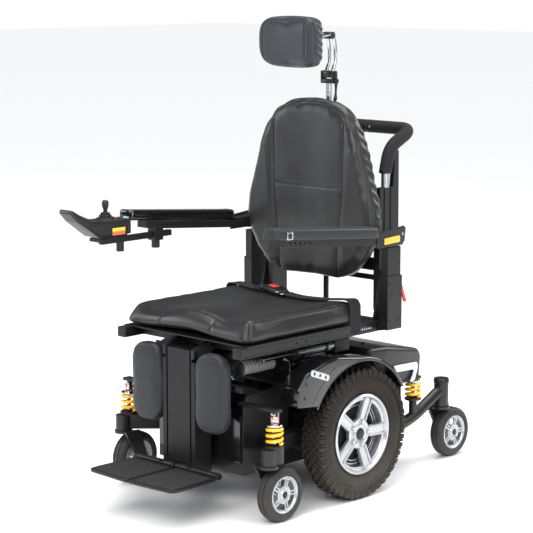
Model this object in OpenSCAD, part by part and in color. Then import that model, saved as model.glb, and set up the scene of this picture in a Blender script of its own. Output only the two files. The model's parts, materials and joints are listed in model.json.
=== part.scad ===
// Power wheelchair with mid-wheel drive, four sprung swing arms with castors, a reclining
// backrest, flip-up armrests, a centre-mount elevating legrest and a height-set headrest.
// Frame: +X is the sitter's left, +Y points backwards, +Z up, and the floor is z = 0.
// Every y below is measured from the drive axle, and placed() moves the whole chair so
// that the origin is under the middle of its length.

/* [Drive wheels] */
// Outer radius of each drive tyre
tyre_r = 184; // [160:1:225]
// Width of each drive tyre
tyre_w = 76; // [60:1:84]
// Centre line to the middle of each drive tyre
drive_x = 277; // [270:1:340]
// Radius of the tyre's seat on the rim
rim_r = 112; // [95:1:130]
// Number of spokes in a drive rim
spokes = 5; // [4:1:7]
// Radius of each drive axle
axle_r = 12; // [9:0.5:15]

/* [Castors] */
// Outer radius of a castor tyre
caster_r = 75; // [62:1:90]
// Width of a castor tyre
caster_w = 48; // [38:1:54]
// Distance from a swivel axis back to its wheel's axle
trail = 43; // [34:1:52]
// Centre line to each front swivel axis
front_caster_x = 286; // [280:1:345]
// Front swivel axis to the front of the drive tyre
front_reach = 173; // [165:1:210]
// Centre line to each rear swivel axis
rear_caster_x = 190; // [180:1:205]
// Rear swivel axis to the back of the drive tyre
rear_reach = 316; // [300:1:380]
// Radius of a swivel stem
stem_r = 10; // [8:0.5:12]
// Radius of a castor axle
pin_r = 6; // [4:0.5:8]

/* [Suspension] */
// Mean radius of a coil spring
coil_r = 21; // [18:0.5:25]
// Radius of the spring wire
wire_r = 4.5; // [3:0.25:5.5]
// Height of a front spring
spring_h = 51; // [48:1:62]
// Turns in a coil spring
spring_turns = 3; // [3:1:5]

/* [Seat] */
// Width of the seat cushion
seat_w = 476; // [400:2:580]
// Depth of the seat cushion
seat_depth = 452; // [420:2:540]
// Thickness of the seat cushion
cushion_h = 64; // [50:1:80]
// Top of the drive tyre to the underside of the seat rails
seat_gap = 80; // [75:1:110]
// Height of a seat rail
rail_h = 28; // [22:1:34]
// Width of a seat rail
rail_w = 30; // [24:1:36]

/* [Backrest] */
// Seat rail underside to the top of the back cushion
back_h = 650; // [560:5:780]
// Thickness of the back cushion
back_t = 66; // [50:1:68]
// Width of a back cane
cane_w = 22; // [18:1:26]
// Depth of a back cane
cane_d = 63; // [50:1:66]

/* [Armrests] */
// Seat rail underside to the top of an armrest post
post_h = 242; // [225:1:300]
// Thickness of an armrest post across the chair
post_t = 24; // [18:1:28]
// Depth of an armrest post along the chair
post_d = 56; // [46:1:60]
// Length of an armrest pad
pad_l = 422; // [330:2:450]
// Width of an armrest pad
pad_w = 56; // [44:1:62]
// Thickness of an armrest pad
pad_t = 30; // [22:1:36]

/* [Legrest] */
// Width of the legrest post
leg_w = 125; // [100:1:140]
// Depth of the legrest post
leg_d = 62; // [50:1:70]
// Height of the footplate hinge above the floor
foot_z = 119; // [95:1:140]
// Length of a footplate half
foot_l = 190; // [150:1:225]
// Half the width of the whole footplate
foot_half = 169; // [140:1:190]
// Height of a calf pad
calf_h = 220; // [170:1:230]
// Width of a calf pad
calf_w = 120; // [90:1:140]
// Thickness of a calf pad
calf_t = 44; // [30:1:52]

/* [Headrest] */
// Width of the headrest pad
head_w = 208; // [160:1:260]
// Height of the headrest pad
head_h = 145; // [110:1:180]
// Thickness of the headrest pad
head_t = 72; // [50:1:80]
// Radius of the headrest post
head_post_r = 9; // [6:0.5:12]

/* [Joystick] */
// Width of the joystick housing
stick_w = 66; // [54:1:68]
// Length of the joystick housing without its nose
stick_l = 129; // [110:1:150]

/* [Hidden] */
$fn = 64;
fit = 0.05;              // radial clearance of a running fit
gap = 0.4;               // clearance between pieces that slide or pass each other
wall = 3;                // thickness of the covers

axle_z = tyre_r;
rail_z = 2 * tyre_r + seat_gap;          // underside of the seat rails
rail_top = rail_z + rail_h;
front_y = -(tyre_r + front_reach);       // front swivel axes
rear_y = tyre_r + rear_reach;            // rear swivel axes
crown_z = 2 * caster_r + 3;              // underside of a fork crown
crown_t = 8;
crown_r = 26;
barrel_z = crown_z + crown_t + 1;        // underside of a swivel barrel
barrel_r = 22;
barrel_h = 43;
rear_barrel_h = 85;

base_half = 165;                         // half the width of the base frame
base_z = 104;                            // underside of the base rails
base_rail_h = 34;
base_rail_w = 30;
base_front = front_y + 27;
base_back = 340;
deck_z = rail_z - 118;                   // underside of the deck that carries the pedestal
deck_t = 8;
deck_front = -180;
deck_back = 108;
plate_t = 6;                             // side plates that carry motors and arm pivots

gearbox_r = 50;
motor_r = 42;
pivot_r = 10;                            // swing arm pivot pins
boss_r = 22;
arm_in = base_half + 9;                  // inner and outer faces of the swing arm bosses
arm_out = arm_in + 38;
front_pivot = [-130, barrel_z + 3];
rear_pivot = [60, 128];
tube_r = 16.5;

seat_y = front_y - 35;                   // front end of the seat
hood_half = drive_x - tyre_w / 2 - 19;
hood_z = 262;
hood_front = deck_back + 22;
hood_back = 392;
fender_gap = 20;
fender_r = tyre_r + fender_gap;
fender_in = drive_x - tyre_w / 2 - 3;
fender_out = drive_x + 26;
fender_front = -(tyre_r + 79);

rail_in = seat_w / 2 - rail_w + 2;
rail_out = seat_w / 2 + 2;
sleeve_w = post_t + 2 * wall + 2 * gap;
sleeve_d = post_d + 2 * wall + 2 * gap;
arm_x = rail_out + 10 + sleeve_w / 2;    // middle of an armrest post
arm_y = 166;
arm_pivot = [arm_y + 14, rail_z + post_h + 26];
bar_w = post_t + 8;
bar_front = arm_pivot[0] - 476;
pad_rear = 70;
pad_slope = 5.2;
hinge_r = 20;

back_pivot = [190, rail_z + 142];
cane_x = rail_in + 9;                    // outer face of a cane
cushion_front = 104;
cushion_back = cushion_front + back_t;
back_bottom = rail_z + 137;

leg_pivot = [seat_y + 12 - 20, rail_z - 12];
leg_front = leg_pivot[0] - 12;
leg_back = leg_front + leg_d;
leg_bottom = foot_z + 16;
leg_pin_r = 8;
lug_in = 12;                             // the post's top is narrower by this on each side
foot_bar_r = 7;
foot_bar_y = leg_front - 9;
calf_y = leg_front - 13;
calf_z = leg_pivot[1] - 98;

head_y = 198;
head_z = rail_z + 812;                   // middle of the headrest pad's height
clamp_z = head_z - 98;

stick_x = -(arm_x + 13);
stick_front = bar_front - 197;
stick_back = stick_front + stick_l;
slide_z = arm_pivot[1] - 8;
slide_h = 16;
stick_z = slide_z + slide_h + gap;
stick_h = 49;
stick_pivot = [stick_front + 71, stick_z + stick_h - 7];

length_front = foot_bar_y - foot_l;
length_back = rear_y + trail + caster_r;
origin_y = (length_front + length_back) / 2;

// ---- helpers ----

// Moves a piece drawn from the drive axle so that the origin is under the chair's middle.
module placed() translate([0, -origin_y, 0]) children();

// Draws the children on the left, or mirrored on the right when side is -1.
module on_side(side) mirror([side < 0 ? 1 : 0, 0, 0]) children();

// Draws the children on both sides.
module both_sides() for (side = [1, -1]) on_side(side) children();

// A box between two corners.
module block(low, high) translate(low) cube(high - low);

// A cylinder along X at (y, z) between two values of x.
module bar_x(x0, x1, at, r) translate([x0, at[0], at[1]]) rotate([0, 90, 0]) cylinder(r = r, h = x1 - x0);

// A cylinder along Y at (x, z) between two values of y.
module bar_y(y0, y1, x, z, r) translate([x, y0, z]) rotate([-90, 0, 0]) cylinder(r = r, h = y1 - y0);

// A round rod between two points.
module rod(a, b, r) {
    v = b - a;
    translate(a) rotate([0, acos(v[2] / norm(v)), atan2(v[1], v[0])]) cylinder(r = r, h = norm(v));
}

// A round tube through a list of points, with round corners.
module bent_rod(points, r) {
    for (i = [0 : len(points) - 2]) rod(points[i], points[i + 1], r);
    for (i = [1 : 1 : len(points) - 2]) translate(points[i]) sphere(r = 1.04 * r);
}

// A plate with a side outline in (y, z), between two values of x.
module side_plate(x0, x1) translate([x0, 0, 0]) rotate([90, 0, 90]) linear_extrude(x1 - x0) children();

// A wheel-shaped solid from a profile in (radius, x), with its axis along X.
module wheel(x, y, z) translate([x, y, z]) rotate([0, 90, 0]) rotate_extrude() children();

// A rectangle with round corners, centred.
module rounded(w, h, r) {
    square([w - 2 * r, h], center = true);
    square([w, h - 2 * r], center = true);
    for (sx = [-1, 1], sy = [-1, 1]) translate([sx * (w / 2 - r), sy * (h / 2 - r)]) circle(r = r);
}

// A ring of wire wound round Z, as a closed mesh.
module coil(r, wire, height, turns) {
    sides = 8;
    steps = turns * 18;
    rise = (height - 2 * wire) / steps;
    points = [for (i = [0 : steps], k = [0 : sides - 1])
        let (a = 360 * turns * i / steps, b = 360 * k / sides, d = r + wire * cos(b))
        [d * cos(a), d * sin(a), wire + rise * i + wire * sin(b)]];
    faces = concat(
        [[for (k = [0 : sides - 1]) k]],
        [[for (k = [sides - 1 : -1 : 0]) steps * sides + k]],
        [for (i = [0 : steps - 1], k = [0 : sides - 1])
            let (n = (k + 1) % sides)
            [i * sides + k, (i + 1) * sides + k, (i + 1) * sides + n, i * sides + n]]);
    polyhedron(points = points, faces = faces, convexity = 4);
}

// ---- base ----

module base_frame() color("dimgray") placed() {
    rail_in_x = base_half - base_rail_w;
    top = base_z + base_rail_h;
    both_sides() {
        block([rail_in_x, base_front, base_z], [base_half, base_back, top]);
        for (y = [deck_front, deck_back - base_rail_w])
            block([rail_in_x, y, top], [base_half, y + base_rail_w, deck_z]);
        difference() {
            side_plate(base_half - plate_t, base_half) polygon([
                [front_pivot[0] - 30, base_z], [front_pivot[0] - 30, front_pivot[1] + 30],
                [-60, axle_z + 60], [60, axle_z + 60], [rear_pivot[0] + 35, rear_pivot[1] + 30],
                [rear_pivot[0] + 35, base_z]]);
            bar_x(base_half - 2 * plate_t, base_half + 1, [0, axle_z], motor_r + gap);
        }
        for (pivot = [front_pivot, rear_pivot]) {
            bar_x(base_half - plate_t, arm_out + 4, pivot, pivot_r);
            bar_x(arm_out + gap, arm_out + plate_t, pivot, pivot_r + 6);
        }
        block([rail_in_x, base_back - base_rail_w, top], [base_half, base_back, hood_z + 6]);
        block([rail_in_x, base_back - base_rail_w, hood_z + 6],
              [rear_caster_x + 20, rear_spring_y() + 14, hood_z + 14]);
        side_plate(base_half - plate_t, base_half) polygon([
            [base_front, top], [base_front, spring_top() + 40],
            [front_spring_y() + 22, spring_top() + 60], [deck_front, deck_z], [deck_front, top]]);
        block([base_half - plate_t, front_spring_y() - 10, spring_top() + 38],
              [front_caster_x + 14, front_spring_y() + 14, spring_top() + 46]);
    }
    for (y = [base_front, deck_front, deck_back - base_rail_w, base_back - base_rail_w])
        block([-rail_in_x, y, base_z], [rail_in_x, y + base_rail_w, top]);
    block([-base_half, deck_front, deck_z], [base_half, deck_back, deck_z + deck_t]);
    block([-rail_in_x, base_front, base_z], [rail_in_x, base_back, base_z + wall]);
}

battery = [138, 226, 200];
controller = [200, 90, 60];
battery_floor = base_z + wall + 1;
module power_pack() color("darkslategray") placed() {
    floor_z = base_z + base_rail_h + 1;
    both_sides() block([1, deck_back + 4, battery_floor],
        [rail_clear(), deck_back + 4 + battery[1] - base_rail_w - 8, battery_floor + battery[2]]);
    block([-controller[0] / 2, base_front + 40, floor_z + 20],
          [controller[0] / 2, base_front + 40 + controller[1], floor_z + 20 + controller[2]]);
}
function rail_clear() = base_half - base_rail_w - 3;

// Outline of the front shroud in (y, z), smaller by inset.
module shroud_outline(inset) polygon([
    [base_front - 6 + inset, base_z + base_rail_h + 1 + inset],
    [base_front - 6 + inset, deck_z - 70 - inset],
    [base_front + 44 + inset, deck_z - 12 - inset],
    [deck_front - 1 - inset, deck_z - 12 - inset],
    [deck_front - 1 - inset, base_z + base_rail_h + 1 + inset]]);

module front_shroud() color("black") placed() {
    half = base_half - plate_t - 1;
    difference() {
        side_plate(-half, half) shroud_outline(0);
        side_plate(-half + wall, half - wall) shroud_outline(wall);
    }
}

// Outline of the rear hood in (y, z), smaller by inset.
module hood_outline(inset) polygon([
    [hood_front + inset, hood_z + inset], [hood_front + inset, rail_z - 54 - inset],
    [210, rail_z - 60 - inset], [hood_back - 16 - inset, rail_z - 92 - inset],
    [hood_back - inset, rail_z - 110 - inset], [hood_back - 8 - inset, hood_z + inset]]);

module rear_hood() color("#2b2c2e") placed() difference() {
    side_plate(-hood_half, hood_half) hood_outline(0);
    side_plate(-hood_half + wall, hood_half - wall) hood_outline(wall);
    block([-hood_half + wall, deck_back, hood_z - 1], [hood_half - wall, hood_back - 14, hood_z + wall + 1]);
    // the batteries pass through the front wall
    block([-rail_clear() - gap, deck_back, hood_z - 1],
          [rail_clear() + gap, hood_front + wall + 1, battery_floor + battery[2] + gap]);
}

// Outline of one fender in (y, z).
module fender_outline() difference() {
    union() {
        intersection() {
            translate([0, axle_z]) circle(r = fender_r + 13);
            translate([-2 * tyre_r, axle_z + 106]) square([2 * tyre_r + 160, 2 * tyre_r]);
        }
        polygon([
            [fender_front, axle_z + 115], [fender_front + 4, axle_z + 166],
            [fender_front + 38, axle_z + 205], [-150, axle_z + 226], [-97, axle_z + 232],
            [-20, axle_z + fender_r + 12], [0, axle_z + 115]]);
    }
    translate([0, axle_z]) circle(r = fender_r);
}

module fenders() color("#0b0b0c") placed() both_sides() {
    side_plate(fender_in, fender_out) fender_outline();
    // flange that carries the fender on the deck
    block([base_half - 15, -150, axle_z + 212], [fender_in + 1, -20, axle_z + 218]);
    block([base_half - 15, -150, deck_z + deck_t], [base_half - 9, -20, axle_z + 213]);
}

marker_hole_r = 3.5;
marker_pitch = 24;
module trim_plates() color("gainsboro") placed() both_sides() {
    translate([fender_out + gap, fender_front + 87, axle_z + 195]) rotate([90, 0, 90])
        linear_extrude(3) difference() {
            rounded(78, 18, 8.5);
            for (i = [-1 : 1]) translate([i * marker_pitch, 0]) circle(r = marker_hole_r);
        }
    side_plate(hood_half + gap, hood_half + gap + 3) difference() {
        hood_trim_outline(0);
        hood_trim_outline(18);
    }
}

// Outline of the hood's side trim in (y, z), smaller by inset.
module hood_trim_outline(inset) polygon([
    [248 - inset / 2, rail_z - 112 - inset], [352 - inset, rail_z - 126 - inset],
    [344 - inset, rail_z - 158], [318 - inset, rail_z - 182 + inset / 2],
    [300 - inset, rail_z - 184 + inset / 2], [302 - inset / 2, rail_z - 150 - inset / 2]]);

module drive_motors() color("#1c1c1e") placed() both_sides() {
    bar_x(12, base_half, [0, axle_z], motor_r);
    bar_x(base_half + gap / 2, drive_x - 27, [0, axle_z], gearbox_r);
    bar_x(base_half - 1, drive_x + 22, [0, axle_z], axle_r);
}

function spring_base() = barrel_z + barrel_h + 7;
function spring_top() = spring_base() + spring_h + 1;
function front_spring_y() = front_y + 22;
function rear_spring_y() = base_back + 25;
function rear_spring_base() = hood_z - 6 - (spring_h - 4);

module shock_bodies() color("silver") placed() both_sides() {
    // front: body, spring collar and eye
    translate([front_caster_x, front_spring_y(), 0]) {
        translate([0, 0, spring_top()]) cylinder(r = coil_r + wire_r, h = 4);
        translate([0, 0, spring_top()]) cylinder(r = 12, h = 38);
    }
    // rear: collar under the hood and the stub into the frame
    translate([rear_caster_x, rear_spring_y(), 0]) {
        translate([0, 0, hood_z - 5]) cylinder(r = coil_r + wire_r, h = 4);
        translate([0, 0, hood_z - 5]) cylinder(r = 10, h = 11);
    }
}

module suspension_springs() color("orange") placed() both_sides() {
    translate([front_caster_x, front_spring_y(), spring_base() + 0.2])
        coil(coil_r, wire_r, spring_h, spring_turns);
    translate([rear_caster_x, rear_spring_y(), rear_spring_base() + 0.2])
        coil(coil_r, wire_r, spring_h - 4, spring_turns);
}

// ---- swing arms, forks and castors ----

module front_arm(side) color("#1a1a1b") placed() on_side(side) {
    z0 = front_pivot[1];
    difference() {
        union() {
            bar_x(arm_in, arm_out, front_pivot, boss_r);
            translate([0, 0, z0]) linear_extrude(barrel_h - 3) polygon([
                [arm_in, front_pivot[0]], [arm_out, front_pivot[0]],
                [arm_out, front_y + 122], [front_caster_x + 14, front_y + 32],
                [front_caster_x + 14, front_y], [front_caster_x - 14, front_y],
                [arm_in, front_y + 95]]);
            translate([front_caster_x, front_y, barrel_z]) cylinder(r = barrel_r, h = barrel_h);
            translate([front_caster_x, front_spring_y(), z0])
                cylinder(r = coil_r + wire_r, h = spring_base() - z0);
            translate([front_caster_x, front_spring_y(), spring_base() - 1])
                cylinder(r = 5, h = spring_h / 2);
        }
        translate([front_caster_x, front_y, barrel_z - 1]) cylinder(r = stem_r + fit, h = barrel_h - 5);
        bar_x(arm_in - 1, arm_out + 1, front_pivot, pivot_r + fit);
    }
}

module rear_arm(side) color("#1a1a1b") placed() on_side(side) {
    knee = [rear_caster_x, 0.5 * (rear_pivot[0] + rear_y) + 5, rear_pivot[1] + 6];
    crook = [rear_caster_x, rear_y - 66, barrel_z + 18];
    difference() {
        union() {
            bent_rod([[rear_caster_x, rear_pivot[0], rear_pivot[1]], knee, crook,
                      [rear_caster_x, rear_y, barrel_z + 42]], tube_r);
            bar_x(arm_in, arm_out, rear_pivot, boss_r);
            translate([rear_caster_x, rear_y, barrel_z]) cylinder(r = barrel_r + 2, h = rear_barrel_h);
            translate([rear_caster_x, rear_spring_y(), barrel_z - 4])
                cylinder(r = 12, h = rear_spring_base() - barrel_z);
            translate([rear_caster_x, rear_spring_y(), rear_spring_base() - 8])
                cylinder(r = coil_r + wire_r, h = 8);
            translate([rear_caster_x, rear_spring_y(), rear_spring_base() - 1])
                cylinder(r = 5, h = spring_h / 2 - 4);
        }
        translate([rear_caster_x, rear_y, barrel_z - 1]) cylinder(r = stem_r + fit, h = rear_barrel_h - 20);
        bar_x(arm_in - 1, arm_out + 1, rear_pivot, pivot_r + fit);
    }
}

// One fork at a swivel axis (x, y): crown, stem, a single leg on the inner side and the axle.
module fork(x, y, stem_h, side) color("#151516") placed() on_side(side) {
    leg_t = 9;
    leg_in = x - caster_w / 2 - 4 - leg_t;
    translate([x, y, crown_z]) cylinder(r = crown_r, h = crown_t);
    translate([x, y, crown_z]) cylinder(r = stem_r, h = crown_t + stem_h);
    block([leg_in, y - 16, crown_z], [x, y + 16, crown_z + crown_t]);
    side_plate(leg_in, leg_in + leg_t) {
        polygon([[y - 24, crown_z + crown_t], [y + 30, crown_z + crown_t],
                 [y + trail + 16, caster_r + 8], [y + trail - 14, caster_r - 12]]);
        translate([y + trail, caster_r]) circle(r = 18);
    }
    bar_x(leg_in, x + caster_w / 2 - 4, [y + trail, caster_r], pin_r);
}

// Castor tyre and rim for a swivel axis (x, y).
module caster_tyre(x, y, side) color("#1b1b1c") placed() on_side(side)
    wheel(x, y + trail, caster_r) translate([(caster_r + caster_seat()) / 2, 0])
        rounded(caster_r - caster_seat(), caster_w, 12);
function caster_seat() = caster_r - 27;

module caster_rim(x, y, side) color("gainsboro") placed() on_side(side) difference() {
    seat = caster_seat() - 0.1;
    union() {
        wheel(x, y + trail, caster_r) translate([(seat + seat - 7) / 2, 0]) square([7, caster_w - 8], center = true);
        bar_x(x - caster_w / 2 + 4, x + caster_w / 2 - 3, [y + trail, caster_r], 15);
        for (i = [0 : 5]) translate([x, y + trail, caster_r]) rotate([60 * i, 0, 0])
            for (s = [-4.5, 4.5]) block([4, s - 2, 10], [caster_w / 2 - 6, s + 2, seat - 3]);
    }
    bar_x(x - caster_w, x + caster_w / 2 - 3.5, [y + trail, caster_r], pin_r + fit);
}

module drive_tyre(side) color("#2a2622") placed() on_side(side)
    wheel(drive_x, 0, axle_z) translate([(tyre_r + rim_r) / 2, 0]) rounded(tyre_r - rim_r, tyre_w, 24);

module drive_rim(side) color("silver") placed() on_side(side) difference() {
    seat = rim_r - 0.1;
    union() {
        wheel(drive_x, 0, axle_z) translate([seat - 8, 0]) square([16, 56], center = true);
        bar_x(drive_x - 20, drive_x + 26, [0, axle_z], 36);
        for (i = [0 : spokes - 1]) translate([drive_x, 0, axle_z]) rotate([360 / spokes * i + 20, 0, 0])
            block([6, -16, 30], [24, 16, seat - 8]);
        for (i = [0 : spokes - 1]) translate([drive_x, 0, axle_z]) rotate([360 / spokes * (i + 0.5) + 20, 0, 0])
            translate([24, 0, 27]) rotate([0, 90, 0]) cylinder(r = 5, h = 6);
        bar_x(drive_x + 20, drive_x + 30, [0, axle_z], 17);
    }
    bar_x(drive_x - 21, drive_x + 23, [0, axle_z], axle_r + fit);
}

// ---- seat ----

module seat_pedestal() color("#202022") placed() {
    foot = deck_z + deck_t;
    block([-90, -130, foot], [90, 50, foot + 8]);
    block([-60, -100, foot + 8], [60, 20, rail_z - 8]);
    block([-110, -130, rail_z - 8], [110, 50, rail_z]);
}

rail_hole_r = 3.25;
rail_hole_pitch = 40;
rail_hole_y = -180;
module seat_frame() color("#161617") placed() {
    front = seat_y - 20;
    back = 204;
    both_sides() {
        difference() {
            block([rail_in, front, rail_z], [rail_out, back, rail_top]);
            for (s = [-1, 1])
                bar_x(rail_in - 1, rail_out + 1,
                      [rail_hole_y + s * rail_hole_pitch / 2, rail_z + rail_h / 2], rail_hole_r);
        }
        // legrest hinge lugs
        side_plate(leg_w / 2 - lug_in + gap, leg_w / 2 - 2) polygon([
            [leg_pivot[0] - 13, leg_pivot[1] - 12], [leg_pivot[0] - 13, leg_pivot[1] + 12],
            [seat_y + 47, rail_top - 6], [seat_y + 76, rail_top - 6],
            [seat_y + 76, rail_z], [leg_pivot[0] + 13, leg_pivot[1] - 12]]);
        // backrest hinge plates
        side_plate(cane_x + 1, cane_x + 9) difference() {
            polygon([[140, rail_top - 1], [back_pivot[0] - 24, back_pivot[1]],
                     [back_pivot[0] - 14, back_pivot[1] + 24], [back_pivot[0] + 14, back_pivot[1] + 24],
                     [back_pivot[0] + 24, back_pivot[1]], [back - 1, rail_top - 1]]);
        }
    }
    // the backrest's through axle and its middle strut
    bar_x(-cane_x - 9, cane_x + 9, back_pivot, leg_pin_r);
    translate([0, back_pivot[0], rail_z + 10]) cylinder(r = leg_pin_r, h = back_pivot[1] - rail_z - 10);
    bar_x(2 - leg_w / 2, leg_w / 2 - 2, leg_pivot, leg_pin_r);
    for (y = [seat_y + 47, -100, -10, back - rail_w])
        block([-rail_in - 1, y, rail_z], [rail_in + 1, y + rail_w, rail_top - 6]);
    block([-rail_out, seat_y + 2, rail_top], [rail_out, 130, rail_top + wall]);
}

module seat_cushion() color("#1d1d20") placed() {
    low = rail_top + wall + 1;
    translate([0, seat_y + seat_depth / 2, low]) linear_extrude(cushion_h) rounded(seat_w, seat_depth, 30);
}

strap_w = 38;
strap_t = 2.5;
belt_y = 40;
function belt_z() = rail_top + wall + 1 + cushion_h + 1;
module seat_belt() color("#141414") placed() both_sides() {
    outer = rail_out + 1 + strap_t;
    block([28, belt_y - strap_w / 2, belt_z()], [outer, belt_y + strap_w / 2, belt_z() + strap_t]);
    block([outer - strap_t, belt_y - strap_w / 2, rail_z + 4],
          [outer, belt_y + strap_w / 2, belt_z() + strap_t]);
}

module belt_buckle() color("#101010") placed()
    translate([0, belt_y, belt_z() + 5]) linear_extrude(13) rounded(66, 44, 8);

module arm_sleeves() color("#111112") placed() both_sides() difference() {
    union() {
        block([arm_x - sleeve_w / 2, arm_y - sleeve_d / 2, rail_z + 7],
              [arm_x + sleeve_w / 2, arm_y + sleeve_d / 2, rail_z + 160]);
        block([rail_out, arm_y - 24, rail_z + 2], [arm_x - sleeve_w / 2 + 1, arm_y + 24, rail_z + 60]);
    }
    block([arm_x - post_t / 2 - gap, arm_y - post_d / 2 - gap, rail_z + 11],
          [arm_x + post_t / 2 + gap, arm_y + post_d / 2 + gap, rail_z + 161]);
}

module leg_actuator() color("silver") placed() {
    x = rail_in - 20;
    z = rail_z - 27;
    bar_y(-165, -5, x, z, 14);
    block([x - 22, -5, z - 20], [x + 18, 60, z + 20]);
    bar_y(seat_y + 110, -164, x, z, 6);
}

module actuator_bellows() color("darkgray") placed() {
    x = 148;
    for (i = [0 : 8]) bar_y(seat_y + 62 + 14 * i, seat_y + 73 + 14 * i, x, rail_z - 50, 20);
    bar_y(seat_y + 60, seat_y + 192, x, rail_z - 50, 16);
}

// ---- armrests ----

module arm_post(side) color("#131314") placed() on_side(side) difference() {
    union() {
        block([arm_x - post_t / 2, arm_y - post_d / 2, rail_z + 72],
              [arm_x + post_t / 2, arm_y + post_d / 2, rail_z + post_h]);
        block([arm_x - 6, arm_pivot[0] - 17, rail_z + post_h - 1], [arm_x + 6, arm_pivot[0] + 14, arm_pivot[1]]);
        bar_x(arm_x - 6, arm_x + 6, arm_pivot, 17);
    }
    bar_x(arm_x - 7, arm_x + 7, arm_pivot, pin_r + fit);
}

// Height of an armrest pad's underside at y.
function pad_low(y) = arm_pivot[1] + 10 + (pad_rear - y) * tan(pad_slope);

module arm_bracket(side) color("#121213") placed() {
    on_side(side) difference() {
        union() {
            side_plate(arm_x - bar_w / 2 - 1, arm_x + bar_w / 2 + 3) {
                translate(arm_pivot) circle(r = hinge_r);
                polygon([[arm_pivot[0], arm_pivot[1] - hinge_r], [arm_pivot[0], arm_pivot[1] + hinge_r],
                         [pad_rear + 2, arm_pivot[1] + hinge_r - 4], [pad_rear + 1, pad_low(pad_rear + 1)],
                         [bar_front, pad_low(bar_front)],
                         [bar_front, arm_pivot[1] + 24], [bar_front + 60, arm_pivot[1] + 17]]);
            }
        }
        block([arm_x - 6 - gap, arm_pivot[0] - 26, arm_pivot[1] - 40],
              [arm_x + 6 + gap, arm_pivot[0] + 30, arm_pivot[1] + 40]);
        for (i = [0 : 4]) bar_x(arm_x - bar_w, arm_x + bar_w,
            [bar_front + 24 + 19 * i, pad_low(bar_front + 24 + 19 * i) - 9], 3);
    }
    on_side(side) bar_x(arm_x - bar_w / 2, arm_x + bar_w / 2 + 2, arm_pivot, pin_r);
    if (side < 0) joystick_clamp();
}

// Clamp under the right armrest that holds the joystick's slide bar.
module joystick_clamp() difference() {
    union() {
        block([-arm_x - 15, bar_front + 36, slide_z - 8], [-arm_x + 15, bar_front + 68, slide_z + slide_h + 16]);
        translate([-arm_x, bar_front + 52, slide_z - 30]) cylinder(r = 12, h = 23);
    }
    block([-arm_x - 8 - gap, bar_front + 30, slide_z - gap],
          [-arm_x + 8 + gap, bar_front + 74, slide_z + slide_h + gap]);
}

module arm_pad(side) color("#232326") placed() on_side(side)
    translate([arm_x + 14, pad_rear, pad_low(pad_rear) + gap]) rotate([-pad_slope, 0, 0])
        translate([0, -pad_l / 2, 0]) linear_extrude(pad_t) rounded(pad_w, pad_l, 20);

module joystick_mount() color("#161617") placed() {
    block([-arm_x - 8, stick_front + 40, slide_z], [-arm_x + 8, bar_front + 108, slide_z + slide_h]);
    block([stick_x - 26, stick_front + 34, slide_z + 6], [-arm_x + 8, stick_back - 22, slide_z + slide_h]);
    translate([-arm_x, stick_back - 16, slide_z - 26]) cylinder(r = 11, h = 27);
}

boot_hole_r = 21;
button_r = 6;
function button_at() = [stick_x, stick_back - 20];
module joystick_housing() color("#18181a") placed() difference() {
    side_plate(stick_x - stick_w / 2, stick_x + stick_w / 2) polygon([
        [stick_back, stick_z], [stick_back, stick_z + stick_h], [stick_front + 34, stick_z + stick_h],
        [stick_front - 8, stick_z + stick_h + 6], [stick_front - 48, stick_z + stick_h + 26],
        [stick_front - 74, stick_z + stick_h + 42], [stick_front - 77, stick_z + stick_h + 32],
        [stick_front - 54, stick_z + stick_h + 8], [stick_front - 12, stick_z + stick_h - 18],
        [stick_front + 20, stick_z]]);
    translate([stick_x, stick_pivot[0], stick_pivot[1] - 16]) cylinder(r = boot_hole_r, h = 60);
    bar_x(stick_x - boot_hole_r - 5, stick_x + boot_hole_r + 5, stick_pivot, 2 + fit);
    translate([button_at()[0], button_at()[1], stick_z + stick_h - 10]) cylinder(r = button_r + gap, h = 20);
}

module joystick_gimbal() color("gray") placed() translate([stick_x, stick_pivot[0], stick_pivot[1]]) {
    rotate([0, 90, 0]) cylinder(r = 2, h = 2 * boot_hole_r + 8, center = true);
    cube([12, 9, 7], center = true);
    rotate([90, 0, 0]) cylinder(r = 2, h = 19, center = true);
}

module joystick_lever() color("#0e0e0f") placed() translate([stick_x, stick_pivot[0], stick_pivot[1]]) difference() {
    union() {
        for (s = [-1, 1]) translate([0, s * 8, 5]) cube([6, 2.6, 22], center = true);
        intersection() {
            difference() {
                sphere(r = 19.5);
                sphere(r = 16.5);
            }
            translate([0, 0, 8 + 20]) cube([40, 40, 40], center = true);
        }
        translate([0, 0, 10]) cylinder(r = 9.3, h = 6);
        translate([0, 0, 12]) cylinder(r = 4, h = 36);
        translate([0, 0, 32]) cylinder(r = 7.5, h = 22);
        translate([0, 0, 54]) sphere(r = 7.5);
    }
    rotate([90, 0, 0]) cylinder(r = 2 + fit, h = 30, center = true);
}

button_travel = 2;
module joystick_button() color("#7a1c1c") placed()
    translate([button_at()[0], button_at()[1], stick_z + stick_h - 10 + button_travel + 1]) cylinder(r = button_r, h = 11);

// ---- backrest and headrest ----

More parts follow.
